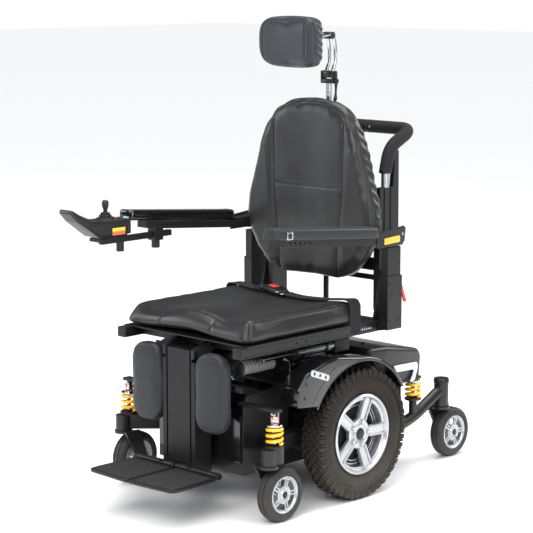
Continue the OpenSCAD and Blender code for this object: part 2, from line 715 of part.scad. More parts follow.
function cane_in() = cane_x - cane_w;
cane_y = cushion_back + 1;
stub_h = 55;                             // length of the tubes under the push handle
cane_bottom = rail_z + 52;
cane_top = rail_z + 402;
module back_frame() color("#131315") placed() {
    both_sides() {
        difference() {
            block([cane_in(), cane_y, cane_bottom], [cane_x, cane_y + cane_d, cane_top]);
            bar_x(cane_in() - 1, cane_x + 1, back_pivot, leg_pin_r + fit);
            for (y = [cane_y + 15, cane_y + cane_d - 21])
                block([cane_x - 3, y, cane_bottom - 1], [cane_x + 1, y + 6, cane_top + 1]);
        }
        side_plate(cane_in() + 4, cane_x - 4) polygon([
            [cane_y + cane_d - 1, cane_top - 150], [cane_y + cane_d - 1, cane_top],
            [cane_y + cane_d + 7, cane_top + 98], [cane_y + cane_d + 23, cane_top + 102],
            [cane_y + cane_d + 25, cane_top - 150]]);
        handle_stub(0);
    }
    for (z = [cane_bottom + 112, cane_top - 60])
        block([-cane_in() - 1, cushion_back + 9, z], [cane_in() + 1, cushion_back + 17, z + 36]);
    block([-130, cushion_back + 1, back_bottom + 30], [130, cushion_back + 9.5, rail_z + back_h - 60]);
    difference() {
        block([-22, cushion_back + 9, rail_z + 490], [22, head_y + 20, rail_z + 560]);
        translate([0, head_y, rail_z + 480]) cylinder(r = head_post_r + fit, h = 100);
    }
}

module back_cushion() color("#1d1d20") placed() {
    z = back_bottom;
    top = rail_z + back_h;
    full = min(cane_x + 24, arm_x - bar_w / 2 - 5);
    translate([0, cushion_back, 0]) rotate([90, 0, 0]) linear_extrude(back_t) polygon(concat(
        [for (p = back_side(full, z, top)) p],
        [for (i = [len(back_side(full, z, top)) - 1 : -1 : 0]) let (p = back_side(full, z, top)[i]) [-p[0], p[1]]]));
}

// One side of the back cushion's outline in (x, z), from the bottom to the top.
function back_side(full, z, top) = [
    [0.42 * full, z], [0.64 * full, z + 20], [0.83 * full, z + 68], [0.95 * full, z + 118],
    [full, z + 165], [0.98 * full, z + 225], [0.89 * full, z + 300], [0.79 * full, top - 130],
    [0.7 * full, top - 78], [0.55 * full, top - 32], [0.32 * full, top - 6], [0.1 * full, top]];

module push_handle() color("#1a1a1c") placed() difference() {
    x = cane_x - cane_w / 2;
    low = [x, cane_y + 34, cane_top + 43];
    bend = [x, cane_y + 52, cane_top + 112];
    corner = [x, cane_y + 150, cane_top + 158];
    union() {
        both_sides() bent_rod([low, bend, corner], 17);
        rod([-x, corner[1], corner[2]], corner, 17);
        both_sides() translate(corner) sphere(r = 17.6);
    }
    both_sides() handle_stub(fit);
}

// Tube on top of a cane that the push handle sits on, grown by play.
module handle_stub(play) translate([cane_x - cane_w / 2, cane_y + 34, cane_top - 1])
    cylinder(r = 11 + play, h = stub_h);

module headrest_post() color("silver") placed() {
    translate([0, head_y, rail_z + 440]) cylinder(r = head_post_r, h = clamp_z - rail_z - 465);
    difference() {
        block([-24, head_y - 12, clamp_z - 26], [24, head_y + 12, clamp_z + 10]);
        block([-17, head_y - 13, clamp_z - 12], [17, head_y + 13, clamp_z + 13]);
        bar_x(-25, 25, [head_y, clamp_z], 4 + fit);
    }
    bar_x(23, 33, [head_y, clamp_z - 19], 4);
}

head_hinge = [98, head_z - 2];
module headrest_arch() color("silver") placed() {
    bar_x(-23.5, 23.5, [head_y, clamp_z], 4);
    bar_x(-16.6, 16.6, [head_y, clamp_z], 11);
    for (s = [-11.5, 11.5]) bent_rod([
        [s, head_y, clamp_z + 6], [s, head_y + 14, clamp_z + 52], [s, head_y + 4, head_z + 14],
        [s, head_y - 26, head_z + 18], [s / 2, head_hinge[0] + 12, head_z]], 5);
    block([-18, head_y - 30, head_z + 8], [18, head_y + 12, head_z + 24]);
    block([-11.9, head_hinge[0] - 6, head_hinge[1] - 9], [11.9, head_hinge[0] + 16, head_hinge[1] + 10]);
    bar_x(-18, 18, head_hinge, 4);
}

module headrest_lever() color("#101011") placed() difference() {
    union() {
        bar_x(24.5, 31.5, [head_y, clamp_z - 19], 8);
        block([24.5, head_y - 5, clamp_z - 66], [31.5, head_y + 5, clamp_z - 19]);
    }
    bar_x(24, 34, [head_y, clamp_z - 19], 4 + fit);
}

module headrest_pad() color("#26282c") placed() difference() {
    union() {
        translate([0, head_t, head_z]) rotate([90, 0, 0]) linear_extrude(head_t) rounded(head_w, head_h, 34);
        block([-24, head_t - 1, head_hinge[1] - 24], [24, head_t + 5, head_hinge[1] + 24]);
        both_sides() block([12.3, head_t + 4, head_hinge[1] - 9], [18.3, head_hinge[0] + 9, head_hinge[1] + 9]);
    }
    bar_x(-20, 20, head_hinge, 4 + fit);
}

// ---- legrest ----

module leg_post() color("#1c1c1e") placed() difference() {
    hollow_w = leg_w - 34;
    union() {
        block([-leg_w / 2, leg_front, leg_bottom], [leg_w / 2, leg_back, leg_pivot[1] - 22]);
        block([lug_in - leg_w / 2, leg_front, leg_pivot[1] - 23], [leg_w / 2 - lug_in, leg_back, leg_pivot[1] + 10]);
        both_sides() block([leg_w / 2 - 1, calf_y + calf_t + gap / 2, calf_z - 20],
                           [leg_w / 2 + calf_w * 0.72, calf_y + calf_t + 7, calf_z + 20]);
    }
    block([-hollow_w / 2, leg_front + 13, leg_bottom - 1], [hollow_w / 2, leg_back - 13, leg_pivot[1] - 14]);
    bar_x(-leg_w, leg_w, leg_pivot, leg_pin_r + fit);
    for (x = [-leg_w / 2 + 14, leg_w / 2 - 20])
        block([x, leg_front - 1, leg_bottom - 1], [x + 6, leg_front + 5, leg_pivot[1] + 11]);
}

module leg_slide() color("#2a2a2c") placed() {
    inner_w = leg_w - 34 - 2 * gap;
    block([-inner_w / 2, leg_front + 13 + gap, foot_z - 14], [inner_w / 2, leg_back - 13 - gap, leg_pivot[1] - 50]);
    block([-leg_w / 2, leg_front, foot_z - 14], [leg_w / 2, leg_back, leg_bottom - gap]);
    both_sides() block([leg_w / 2 - 12, foot_bar_y - 9, foot_z - 9], [leg_w / 2 - 2, leg_front + 1, foot_z + 9]);
    bar_x(-0.8 * foot_half, 0.8 * foot_half, [foot_bar_y, foot_z], foot_bar_r);
}

module footplate(side) color("#333335") placed() on_side(side) {
    front = foot_bar_y - foot_l;
    back = foot_bar_y - 19;
    corner = 16;
    difference() {
        union() {
            translate([0, 0, foot_z - 4]) linear_extrude(8) polygon([
                [1.5, back], [1.5, front], [foot_half - 2 * corner, front],
                [foot_half, front + 1.5 * corner], [foot_half, back]]);
            block([leg_w / 2 + 4, back - 1, foot_z - 4], [leg_w / 2 + 52, foot_bar_y, foot_z + 4]);
            bar_x(leg_w / 2 + 4, leg_w / 2 + 52, [foot_bar_y, foot_z], foot_bar_r + 4);
        }
        bar_x(leg_w / 2 + 3, leg_w / 2 + 53, [foot_bar_y, foot_z], foot_bar_r + fit);
    }
}

module calf_pads() color("#2a2b2f") placed() both_sides()
    translate([leg_w / 2 + 1.5 + calf_w / 2, calf_y + calf_t, calf_z]) rotate([90, 0, 0])
        linear_extrude(calf_t) rounded(calf_w, calf_h, calf_w / 2 - 1);

base_frame();
power_pack();
front_shroud();
rear_hood();
fenders();
trim_plates();
drive_motors();
shock_bodies();
suspension_springs();
seat_pedestal();
seat_frame();
seat_cushion();
seat_belt();
belt_buckle();
arm_sleeves();
leg_actuator();
actuator_bellows();
drive_tyre(1);  // drive_tyre_left
drive_tyre(-1);  // drive_tyre_right
drive_rim(1);  // drive_rim_left
drive_rim(-1);  // drive_rim_right
front_arm(1);  // front_arm_left
front_arm(-1);  // front_arm_right
rear_arm(1);  // rear_arm_left
rear_arm(-1);  // rear_arm_right
fork(front_caster_x, front_y, 34, 1);  // front_fork_left
fork(front_caster_x, front_y, 34, -1);  // front_fork_right
fork(rear_caster_x, rear_y, 60, 1);  // rear_fork_left
fork(rear_caster_x, rear_y, 60, -1);  // rear_fork_right
caster_tyre(front_caster_x, front_y, 1);  // front_caster_tyre_left
caster_tyre(front_caster_x, front_y, -1);  // front_caster_tyre_right
caster_tyre(rear_caster_x, rear_y, 1);  // rear_caster_tyre_left
caster_tyre(rear_caster_x, rear_y, -1);  // rear_caster_tyre_right
caster_rim(front_caster_x, front_y, 1);  // front_caster_rim_left
caster_rim(front_caster_x, front_y, -1);  // front_caster_rim_right
caster_rim(rear_caster_x, rear_y, 1);  // rear_caster_rim_left
caster_rim(rear_caster_x, rear_y, -1);  // rear_caster_rim_right
arm_post(1);  // arm_post_left
arm_post(-1);  // arm_post_right
arm_bracket(1);  // arm_bracket_left
arm_bracket(-1);  // arm_bracket_right
arm_pad(1);  // arm_pad_left
arm_pad(-1);  // arm_pad_right
joystick_mount();
joystick_housing();
joystick_gimbal();
joystick_lever();
joystick_button();
back_frame();
back_cushion();
push_handle();
headrest_post();
headrest_arch();
headrest_lever();
headrest_pad();
leg_post();
leg_slide();
footplate(1);  // footplate_left
footplate(-1);  // footplate_right
calf_pads();
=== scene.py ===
import json
import math

import bmesh
import bpy
from mathutils import Matrix, Vector, kdtree, noise
from mathutils.bvhtree import BVHTree


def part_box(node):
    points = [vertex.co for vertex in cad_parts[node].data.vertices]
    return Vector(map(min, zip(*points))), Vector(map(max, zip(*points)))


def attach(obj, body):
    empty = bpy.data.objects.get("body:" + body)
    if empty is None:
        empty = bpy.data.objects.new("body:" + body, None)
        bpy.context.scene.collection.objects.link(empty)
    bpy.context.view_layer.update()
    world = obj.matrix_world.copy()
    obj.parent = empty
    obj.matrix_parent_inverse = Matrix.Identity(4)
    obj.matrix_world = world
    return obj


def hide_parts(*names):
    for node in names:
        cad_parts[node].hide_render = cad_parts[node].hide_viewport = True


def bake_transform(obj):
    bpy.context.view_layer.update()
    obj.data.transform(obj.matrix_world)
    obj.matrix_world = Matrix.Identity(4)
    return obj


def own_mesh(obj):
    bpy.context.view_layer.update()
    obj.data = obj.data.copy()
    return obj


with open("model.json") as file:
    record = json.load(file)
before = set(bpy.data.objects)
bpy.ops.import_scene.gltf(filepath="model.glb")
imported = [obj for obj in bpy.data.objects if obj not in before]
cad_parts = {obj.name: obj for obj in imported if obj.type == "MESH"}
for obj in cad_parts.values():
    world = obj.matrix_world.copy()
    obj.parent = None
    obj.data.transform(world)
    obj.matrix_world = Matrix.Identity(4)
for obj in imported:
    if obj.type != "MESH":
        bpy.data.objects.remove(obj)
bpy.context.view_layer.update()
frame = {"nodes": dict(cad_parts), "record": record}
nodes = frame["nodes"]
sides = {"left": 1, "right": -1}
print("frame loaded:", len(nodes), "nodes")

# camera and lights

cameraView = {
    "place": (3.624, -3.8945, 1.479),
    "azimuth": 43.441,
    "pitch": 9.145,
    "lens": 127.4,
    "sensor": 36.0,
}
studioLights = [
    {"name": "keyLight", "place": (1.6, -3.6, 3.2), "size": 2.6, "energy": 150, "colour": (1.0, 0.985, 0.96)},
    {"name": "fillLight", "place": (4.2, -0.4, 1.8), "size": 2.4, "energy": 85, "colour": (0.95, 0.98, 1.0)},
    {"name": "topLight", "place": (-0.3, 0.4, 3.9), "size": 3.0, "energy": 60, "colour": (1.0, 1.0, 1.0)},
    {"name": "leftLight", "place": (-3.4, -2.2, 1.9), "size": 2.0, "energy": 60, "colour": (0.92, 0.96, 1.0)},
    {"name": "rearLight", "place": (1.2, 3.6, 2.4), "size": 2.2, "energy": 80, "colour": (1.0, 1.0, 1.0)},
]
studio = {"aim": Vector((0, 0, 0.55)), "worldStrength": 0.30, "mirroredStrength": 0.12,
          "backdropStrength": 1.0, "floorSize": 60.0,
          "floorTone": 0.92, "sunStrength": 2.5}


def addCamera(view):
    data = bpy.data.cameras.new("studioCamera")
    data.lens = view["lens"]
    data.sensor_width = view["sensor"]
    data.clip_end = 60
    camera = bpy.data.objects.new("studioCamera", data)
    camera.location = view["place"]
    camera.rotation_euler = (math.radians(90 - view["pitch"]), 0, math.radians(view["azimuth"]))
    bpy.context.scene.collection.objects.link(camera)
    bpy.context.scene.camera = camera


def addLight(light):
    data = bpy.data.lights.new(light["name"], "AREA")
    data.shape = "DISK"
    data.size = light["size"]
    data.energy = light["energy"]
    data.color = light["colour"]
    lamp = bpy.data.objects.new(light["name"], data)
    lamp.location = light["place"]
    lamp.rotation_euler = (studio["aim"] - Vector(light["place"])).to_track_quat("-Z", "Y").to_euler()
    bpy.context.scene.collection.objects.link(lamp)


def addSun():
    # an even overhead light keeps the floor white out to its edge
    data = bpy.data.lights.new("softSun", "SUN")
    data.energy = studio["sunStrength"]
    data.angle = math.radians(70)
    lamp = bpy.data.objects.new("softSun", data)
    lamp.location = (0, 0, 4)
    bpy.context.scene.collection.objects.link(lamp)


def addWorld():
    world = bpy.data.worlds.new("studioWorld")
    world.use_nodes = True
    tree = world.node_tree
    # the backdrop that the camera sees is white; what lights the chair is dimmer
    seen = tree.nodes["Background"]
    seen.inputs["Color"].default_value = (1, 1, 1, 1)
    seen.inputs["Strength"].default_value = studio["backdropStrength"]
    lit = tree.nodes.new("ShaderNodeBackground")
    lit.inputs["Color"].default_value = (0.93, 0.96, 1, 1)
    lit.inputs["Strength"].default_value = studio["worldStrength"]
    mirrored = tree.nodes.new("ShaderNodeBackground")
    mirrored.inputs["Color"].default_value = (0.93, 0.96, 1, 1)
    mirrored.inputs["Strength"].default_value = studio["mirroredStrength"]
    path = tree.nodes.new("ShaderNodeLightPath")
    around = tree.nodes.new("ShaderNodeMixShader")
    tree.links.new(path.outputs["Is Glossy Ray"], around.inputs["Fac"])
    tree.links.new(lit.outputs["Background"], around.inputs[1])
    tree.links.new(mirrored.outputs["Background"], around.inputs[2])
    mix = tree.nodes.new("ShaderNodeMixShader")
    tree.links.new(path.outputs["Is Camera Ray"], mix.inputs["Fac"])
    tree.links.new(around.outputs["Shader"], mix.inputs[1])
    tree.links.new(seen.outputs["Background"], mix.inputs[2])
    tree.links.new(mix.outputs["Shader"], tree.nodes["World Output"].inputs["Surface"])
    bpy.context.scene.world = world
    bpy.context.scene.view_settings.view_transform = "Standard"


def addFloor():
    half = studio["floorSize"] / 2
    mesh = bpy.data.meshes.new("studioFloor")
    mesh.from_pydata([(-half, -half, 0), (half, -half, 0), (half, half, 0), (-half, half, 0)], [],
                     [(0, 1, 2, 3)])
    floor = bpy.data.objects.new("studioFloor", mesh)
    bpy.context.scene.collection.objects.link(floor)
    material = bpy.data.materials.new("paleFloor")
    material.use_nodes = True
    shader = material.node_tree.nodes["Principled BSDF"]
    tone = studio["floorTone"]
    shader.inputs["Base Color"].default_value = (tone, tone, tone, 1)
    shader.inputs["Roughness"].default_value = 0.75
    mesh.materials.append(material)


addCamera(cameraView)
for light in studioLights:
    addLight(light)
addSun()
addWorld()
addFloor()
print("camera, lights and floor placed")

# shader groups: each has named sockets and gives out only values, masks and normals


def newGroup(name, inputs, outputs):
    group = bpy.data.node_groups.new(name, "ShaderNodeTree")
    for label, value in inputs.items():
        socket = group.interface.new_socket(label, in_out="INPUT", socket_type="NodeSocketFloat")
        socket.default_value = value
    for label, kind in outputs.items():
        group.interface.new_socket(label, in_out="OUTPUT", socket_type=kind)
    return group, group.nodes.new("NodeGroupInput"), group.nodes.new("NodeGroupOutput")


def addNode(tree, kind, **values):
    node = tree.nodes.new(kind)
    for key, value in values.items():
        setattr(node, key, value)
    return node


def mathNode(tree, operation, first, second=None):
    node = addNode(tree, "ShaderNodeMath", operation=operation)
    for index, value in enumerate((first, second)):
        if value is None:
            continue
        if isinstance(value, (int, float)):
            node.inputs[index].default_value = value
        else:
            tree.links.new(value, node.inputs[index])
    return node.outputs[0]


def noiseOut(tree, vector, scale, detail=4.0, rough=0.55):
    node = addNode(tree, "ShaderNodeTexNoise")
    node.inputs["Detail"].default_value = detail
    node.inputs["Roughness"].default_value = rough
    tree.links.new(vector, node.inputs["Vector"])
    if isinstance(scale, (int, float)):
        node.inputs["Scale"].default_value = scale
    else:
        tree.links.new(scale, node.inputs["Scale"])
    return node.outputs["Fac"]


def buildFineGrain():
    floats = {"Height": "NodeSocketFloat", "Tone": "NodeSocketFloat"}
    tree, given, result = newGroup("fineGrain", {"Scale": 900.0}, floats)
    place = addNode(tree, "ShaderNodeTexCoord").outputs["Object"]
    tree.links.new(noiseOut(tree, place, given.outputs["Scale"], 3), result.inputs["Height"])
    tree.links.new(noiseOut(tree, place, 9.0, 5, 0.6), result.inputs["Tone"])
    return tree


def buildLeatherGrain():
    floats = {"Height": "NodeSocketFloat", "Tone": "NodeSocketFloat"}
    tree, given, result = newGroup("leatherGrain", {"Scale": 420.0, "Crease": 0.35}, floats)
    place = addNode(tree, "ShaderNodeTexCoord").outputs["Object"]
    cells = addNode(tree, "ShaderNodeTexVoronoi", feature="DISTANCE_TO_EDGE")
    tree.links.new(place, cells.inputs["Vector"])
    tree.links.new(given.outputs["Scale"], cells.inputs["Scale"])
    pebble = mathNode(tree, "MINIMUM", mathNode(tree, "MULTIPLY", cells.outputs["Distance"], 3.2), 1.0)
    crease = mathNode(tree, "MULTIPLY", noiseOut(tree, place, 26.0, 6, 0.62), given.outputs["Crease"])
    tree.links.new(mathNode(tree, "ADD", pebble, crease), result.inputs["Height"])
    tree.links.new(noiseOut(tree, place, 5.5, 4, 0.6), result.inputs["Tone"])
    return tree


def buildEdgeWear():
    kinds = {"Mask": "NodeSocketFloat", "Normal": "NodeSocketVector"}
    tree, given, result = newGroup("edgeWear", {"Radius": 0.0012, "Spread": 3.0}, kinds)
    bevel = addNode(tree, "ShaderNodeBevel", samples=4)
    tree.links.new(given.outputs["Radius"], bevel.inputs["Radius"])
    geometry = addNode(tree, "ShaderNodeNewGeometry")
    facing = addNode(tree, "ShaderNodeVectorMath", operation="DOT_PRODUCT")
    tree.links.new(bevel.outputs["Normal"], facing.inputs[0])
    tree.links.new(geometry.outputs["Normal"], facing.inputs[1])
    edge = mathNode(tree, "MULTIPLY", mathNode(tree, "SUBTRACT", 1.0, facing.outputs["Value"]),
                    given.outputs["Spread"])
    place = addNode(tree, "ShaderNodeTexCoord").outputs["Object"]
    broken = mathNode(tree, "MULTIPLY", edge, noiseOut(tree, place, 60.0, 4, 0.7))
    tree.links.new(mathNode(tree, "MINIMUM", broken, 1.0), result.inputs["Mask"])
    tree.links.new(bevel.outputs["Normal"], result.inputs["Normal"])
    return tree


def buildFloorDust():
    tree, given, result = newGroup("floorDust", {"Reach": 0.16}, {"Mask": "NodeSocketFloat"})
    place = addNode(tree, "ShaderNodeTexCoord").outputs["Object"]
    parts = addNode(tree, "ShaderNodeSeparateXYZ")
    tree.links.new(place, parts.inputs[0])
    low = mathNode(tree, "SUBTRACT", 1.0, mathNode(tree, "DIVIDE", parts.outputs["Z"],
                                                   given.outputs["Reach"]))
    patchy = mathNode(tree, "MULTIPLY", mathNode(tree, "MAXIMUM", low, 0.0),
                      noiseOut(tree, place, 34.0, 5, 0.7))
    tree.links.new(patchy, result.inputs["Mask"])
    return tree


groups = {
    "fineGrain": buildFineGrain(),
    "leatherGrain": buildLeatherGrain(),
    "edgeWear": buildEdgeWear(),
    "floorDust": buildFloorDust(),
}

# one dictionary for each finish; the names are the record's material slots
finishes = {
    "frame_paint": {"base": (0.0065, 0.0065, 0.0072), "tone": (0.0105, 0.0105, 0.0115), "specular": 0.28,
                    "rough": (0.36, 0.5), "coat": 0.1,
                    "grain": "fineGrain", "scale": 1500, "bump": 0.10,
                    "wear": (0.0014, 2.2, (0.045, 0.045, 0.047))},
    "arm_paint": {"base": (0.0068, 0.0068, 0.0072), "tone": (0.0105, 0.0105, 0.011), "specular": 0.30,
                  "rough": (0.32, 0.46), "coat": 0.2,
                  "grain": "fineGrain", "scale": 1200, "bump": 0.10,
                  "wear": (0.0016, 2.4, (0.054, 0.054, 0.054)),
                  "dust": 0.10},
    "battery_case": {"base": (0.012, 0.012, 0.013), "tone": (0.017, 0.017, 0.018), "specular": 0.28,
                     "rough": (0.5, 0.6),
                     "grain": "fineGrain", "scale": 900, "bump": 0.15,
                     "wear": (0.001, 1.5, (0.036, 0.036, 0.036))},
    "cover_gloss": {"base": (0.0035, 0.0035, 0.004), "tone": (0.0055, 0.0055, 0.006), "specular": 0.35,
                    "rough": (0.10, 0.18), "coat": 0.7,
                    "grain": "fineGrain", "scale": 300, "bump": 0.015,
                    "wear": (0.002, 1.2, (0.023, 0.023, 0.025)),
                    "dust": 0.06},
    "hood_plastic": {"base": (0.0085, 0.0085, 0.0095), "tone": (0.0120, 0.0120, 0.013), "specular": 0.28,
                     "rough": (0.34, 0.44), "coat": 0.15,
                     "grain": "fineGrain", "scale": 1700, "bump": 0.16,
                     "wear": (0.002, 1.4, (0.032, 0.032, 0.034))},
    "trim_white": {"base": (0.72, 0.75, 0.78), "tone": (0.80, 0.82, 0.84), "rough": (0.22, 0.3), "coat": 0.4,
                   "grain": "fineGrain", "scale": 700, "bump": 0.03,
                   "wear": (0.0006, 1.0, (0.55, 0.55, 0.56))},
    "motor_casting": {"base": (0.009, 0.009, 0.010), "tone": (0.015, 0.015, 0.016), "specular": 0.28,
                      "rough": (0.45, 0.6),
                      "grain": "fineGrain", "scale": 700, "bump": 0.3,
                      "wear": (0.002, 2.0, (0.063, 0.063, 0.063)),
                      "dust": 0.2},
    "chrome": {"base": (0.40, 0.40, 0.41), "tone": (0.50, 0.50, 0.51), "rough": (0.06, 0.14), "metal": 1.0,
               "grain": "fineGrain", "scale": 2500, "bump": 0.02, "wear": (0.0008, 1.0, (0.9, 0.9, 0.9))},
    "spring_yellow": {"base": (0.86, 0.42, 0.012), "tone": (0.95, 0.52, 0.02), "rough": (0.2, 0.3),
                      "coat": 0.6,
                      "grain": "fineGrain", "scale": 900, "bump": 0.04, "dust": 0.05},
    "seat_leather": {"base": (0.0115, 0.0115, 0.0122), "tone": (0.0175, 0.0175, 0.0182), "specular": 0.42,
                     "rough": (0.28, 0.40), "sheen": 0.03,
                     "grain": "leatherGrain", "scale": 620, "bump": 0.13},
    "head_leather": {"base": (0.014, 0.0175, 0.022), "tone": (0.020, 0.0250, 0.031), "specular": 0.38,
                     "rough": (0.38, 0.5), "sheen": 0.05,
                     "grain": "leatherGrain", "scale": 760, "bump": 0.12},
    "webbing": {"base": (0.008, 0.008, 0.009), "tone": (0.014, 0.014, 0.015), "specular": 0.25,
                "rough": (0.6, 0.75), "sheen": 0.08,
                "grain": "fineGrain", "scale": 2400, "bump": 0.5},
    "buckle_plastic": {"base": (0.0055, 0.0055, 0.006), "tone": (0.009, 0.009, 0.0095), "specular": 0.32,
                       "rough": (0.28, 0.4), "coat": 0.1,
                       "grain": "fineGrain", "scale": 1400, "bump": 0.08,
                       "wear": (0.0008, 1.6, (0.036, 0.036, 0.036))},
    "brushed_tube": {"base": (0.38, 0.39, 0.41), "tone": (0.48, 0.49, 0.51), "rough": (0.24, 0.34),
                     "metal": 1.0,
                     "grain": "fineGrain", "scale": 1800, "bump": 0.08,
                     "wear": (0.001, 1.0, (0.75, 0.75, 0.76))},
    "bellows_rubber": {"base": (0.115, 0.117, 0.120), "tone": (0.165, 0.167, 0.17), "specular": 0.35,
                       "rough": (0.5, 0.65),
                       "grain": "fineGrain", "scale": 900, "bump": 0.2,
                       "wear": (0.001, 1.2, (0.090, 0.090, 0.090))},
    "drive_tyre": {"base": (0.0125, 0.0105, 0.0090), "tone": (0.0205, 0.0172, 0.0145), "specular": 0.22,
                   "rough": (0.66, 0.82),
                   "grain": "fineGrain", "scale": 700, "bump": 0.35,
                   "wear": (0.0012, 1.4, (0.038, 0.034, 0.028)),
                   "dust": 0.35},
    "caster_tyre": {"base": (0.0085, 0.0085, 0.0085), "tone": (0.0135, 0.0135, 0.0135), "specular": 0.25,
                    "rough": (0.45, 0.6),
                    "grain": "fineGrain", "scale": 900, "bump": 0.15, "dust": 0.3},
    "rim_alloy": {"base": (0.44, 0.45, 0.47), "tone": (0.54, 0.55, 0.57), "rough": (0.26, 0.36),
                  "metal": 0.75,
                  "coat": 0.3, "grain": "fineGrain", "scale": 1400, "bump": 0.05,
                  "wear": (0.0010, 1.0, (0.82, 0.82, 0.83)), "dust": 0.12},
    "foam_grip": {"base": (0.0095, 0.0095, 0.0105), "tone": (0.0145, 0.0145, 0.0155), "specular": 0.25,
                  "rough": (0.68, 0.8),
                  "grain": "fineGrain", "scale": 2600, "bump": 0.45},
    "post_aluminium": {"base": (0.010, 0.010, 0.011), "tone": (0.015, 0.015, 0.016), "specular": 0.30,
                       "rough": (0.3, 0.4), "metal": 0.35,
                       "grain": "fineGrain", "scale": 1900, "bump": 0.07,
                       "wear": (0.001, 1.8, (0.054, 0.054, 0.056))},
    "pad_skin": {"base": (0.0145, 0.0150, 0.0178), "tone": (0.020, 0.0205, 0.024), "specular": 0.32,
                 "rough": (0.4, 0.5), "sheen": 0.03,
                 "grain": "leatherGrain", "scale": 900, "bump": 0.06},
    "joystick_plastic": {"base": (0.0085, 0.0085, 0.0105), "tone": (0.0125, 0.0125, 0.0145),
                         "specular": 0.32, "rough": (0.34, 0.46),
                         "coat": 0.1, "grain": "fineGrain", "scale": 2200, "bump": 0.2,
                         "wear": (0.001, 1.4, (0.036, 0.036, 0.036))},
    "boot_rubber": {"base": (0.0075, 0.0075, 0.008), "tone": (0.012, 0.012, 0.0125), "specular": 0.28,
                    "rough": (0.5, 0.62),
                    "grain": "fineGrain", "scale": 1200, "bump": 0.15},
    "button_red": {"base": (0.62, 0.03, 0.02), "tone": (0.72, 0.05, 0.03), "rough": (0.28, 0.36), "coat": 0.3,
                   "grain": "fineGrain", "scale": 900, "bump": 0.03},
    "footplate_grit": {"base": (0.016, 0.016, 0.0175), "tone": (0.024, 0.024, 0.026), "specular": 0.22,
                       "rough": (0.62, 0.78),
                       "grain": "fineGrain", "scale": 620, "bump": 0.9,
                       "wear": (0.001, 1.5, (0.050, 0.050, 0.052)),
                       "dust": 0.1},
    "reflector_amber": {"base": (0.80, 0.36, 0.01), "tone": (0.95, 0.48, 0.02), "rough": (0.12, 0.2),
                        "coat": 0.8,
                        "grain": "fineGrain", "scale": 500, "bump": 0.05},
    "label_yellow": {"base": (0.85, 0.62, 0.03), "tone": (0.90, 0.68, 0.05), "rough": (0.35, 0.42),
                     "grain": "fineGrain", "scale": 600, "bump": 0.02},
    "label_red": {"base": (0.72, 0.13, 0.07), "tone": (0.78, 0.17, 0.09), "rough": (0.35, 0.42),
                  "grain": "fineGrain", "scale": 600, "bump": 0.02},
    "bolt_zinc": {"base": (0.42, 0.50, 0.58), "tone": (0.52, 0.60, 0.68), "rough": (0.2, 0.3), "metal": 0.9,
                  "grain": "fineGrain", "scale": 900, "bump": 0.05, "wear": (0.0005, 1.0, (0.7, 0.75, 0.8))},
    "cyan_lens": {"base": (0.25, 0.62, 0.75), "tone": (0.35, 0.72, 0.82), "rough": (0.12, 0.2), "coat": 0.6,
                  "grain": "fineGrain", "scale": 400, "bump": 0.02},
}


def mixColour(tree, factor, first, second):
    node = addNode(tree, "ShaderNodeMix", data_type="RGBA")
    tree.links.new(factor, node.inputs["Factor"])
    for label, value in (("A", first), ("B", second)):
        socket = [s for s in node.inputs if s.name == label and s.type == "RGBA"][0]
        if isinstance(value, tuple):
            socket.default_value = (*value, 1)
        else:
            tree.links.new(value, socket)
    return [s for s in node.outputs if s.type == "RGBA"][0]


def useGroup(tree, name, **values):
    node = addNode(tree, "ShaderNodeGroup", node_tree=groups[name])
    for label, value in values.items():
        node.inputs[label].default_value = value
    return node


def buildFinish(name, spec):
    material = bpy.data.materials.new(name)
    material.use_nodes = True
    tree = material.node_tree
    shader = tree.nodes["Principled BSDF"]
    shader.inputs["Metallic"].default_value = spec.get("metal", 0.0)
    shader.inputs["Coat Weight"].default_value = spec.get("coat", 0.0)
    shader.inputs["Coat Roughness"].default_value = 0.08
    shader.inputs["Specular IOR Level"].default_value = spec.get("specular", 0.5)
    shader.inputs["Sheen Weight"].default_value = spec.get("sheen", 0.0)
    shader.inputs["Sheen Roughness"].default_value = 0.4
    grain = useGroup(tree, spec["grain"], Scale=spec["scale"])
    colour = mixColour(tree, grain.outputs["Tone"], spec["base"], spec["tone"])
    rough = addNode(tree, "ShaderNodeMapRange")
    rough.inputs["From Min"].default_value = 0.3
    rough.inputs["From Max"].default_value = 0.7
    rough.inputs["To Min"].default_value = spec["rough"][0]
    rough.inputs["To Max"].default_value = spec["rough"][1]
    tree.links.new(grain.outputs["Tone"], rough.inputs["Value"])
    tree.links.new(rough.outputs["Result"], shader.inputs["Roughness"])
    bump = addNode(tree, "ShaderNodeBump")
    bump.inputs["Strength"].default_value = spec["bump"]
    bump.inputs["Distance"].default_value = 0.001
    tree.links.new(grain.outputs["Height"], bump.inputs["Height"])
    if "wear" in spec:
        radius, spread, worn = spec["wear"]
        wear = useGroup(tree, "edgeWear", Radius=radius, Spread=spread)
        colour = mixColour(tree, wear.outputs["Mask"], colour, worn)
        tree.links.new(wear.outputs["Normal"], bump.inputs["Normal"])
    if "dust" in spec:
        dust = useGroup(tree, "floorDust", Reach=0.24)
        amount = mathNode(tree, "MULTIPLY", dust.outputs["Mask"], spec["dust"])
        colour = mixColour(tree, amount, colour, (0.24, 0.22, 0.19))
    tree.links.new(colour, shader.inputs["Base Color"])
    tree.links.new(bump.outputs["Normal"], shader.inputs["Normal"])
    return material


materials = {name: buildFinish(name, spec) for name, spec in finishes.items()}
slotOf = {part["node"]: part["material_slot"] for part in frame["record"]["subparts"]}


def dressNode(name):
    mesh = nodes[name].data
    mesh.materials.clear()
    mesh.materials.append(materials[slotOf[name]])


for nodeName in nodes:
    dressNode(nodeName)
print("finishes built:", len(materials))

# shapes: each maker gives back (points, faces) in metres


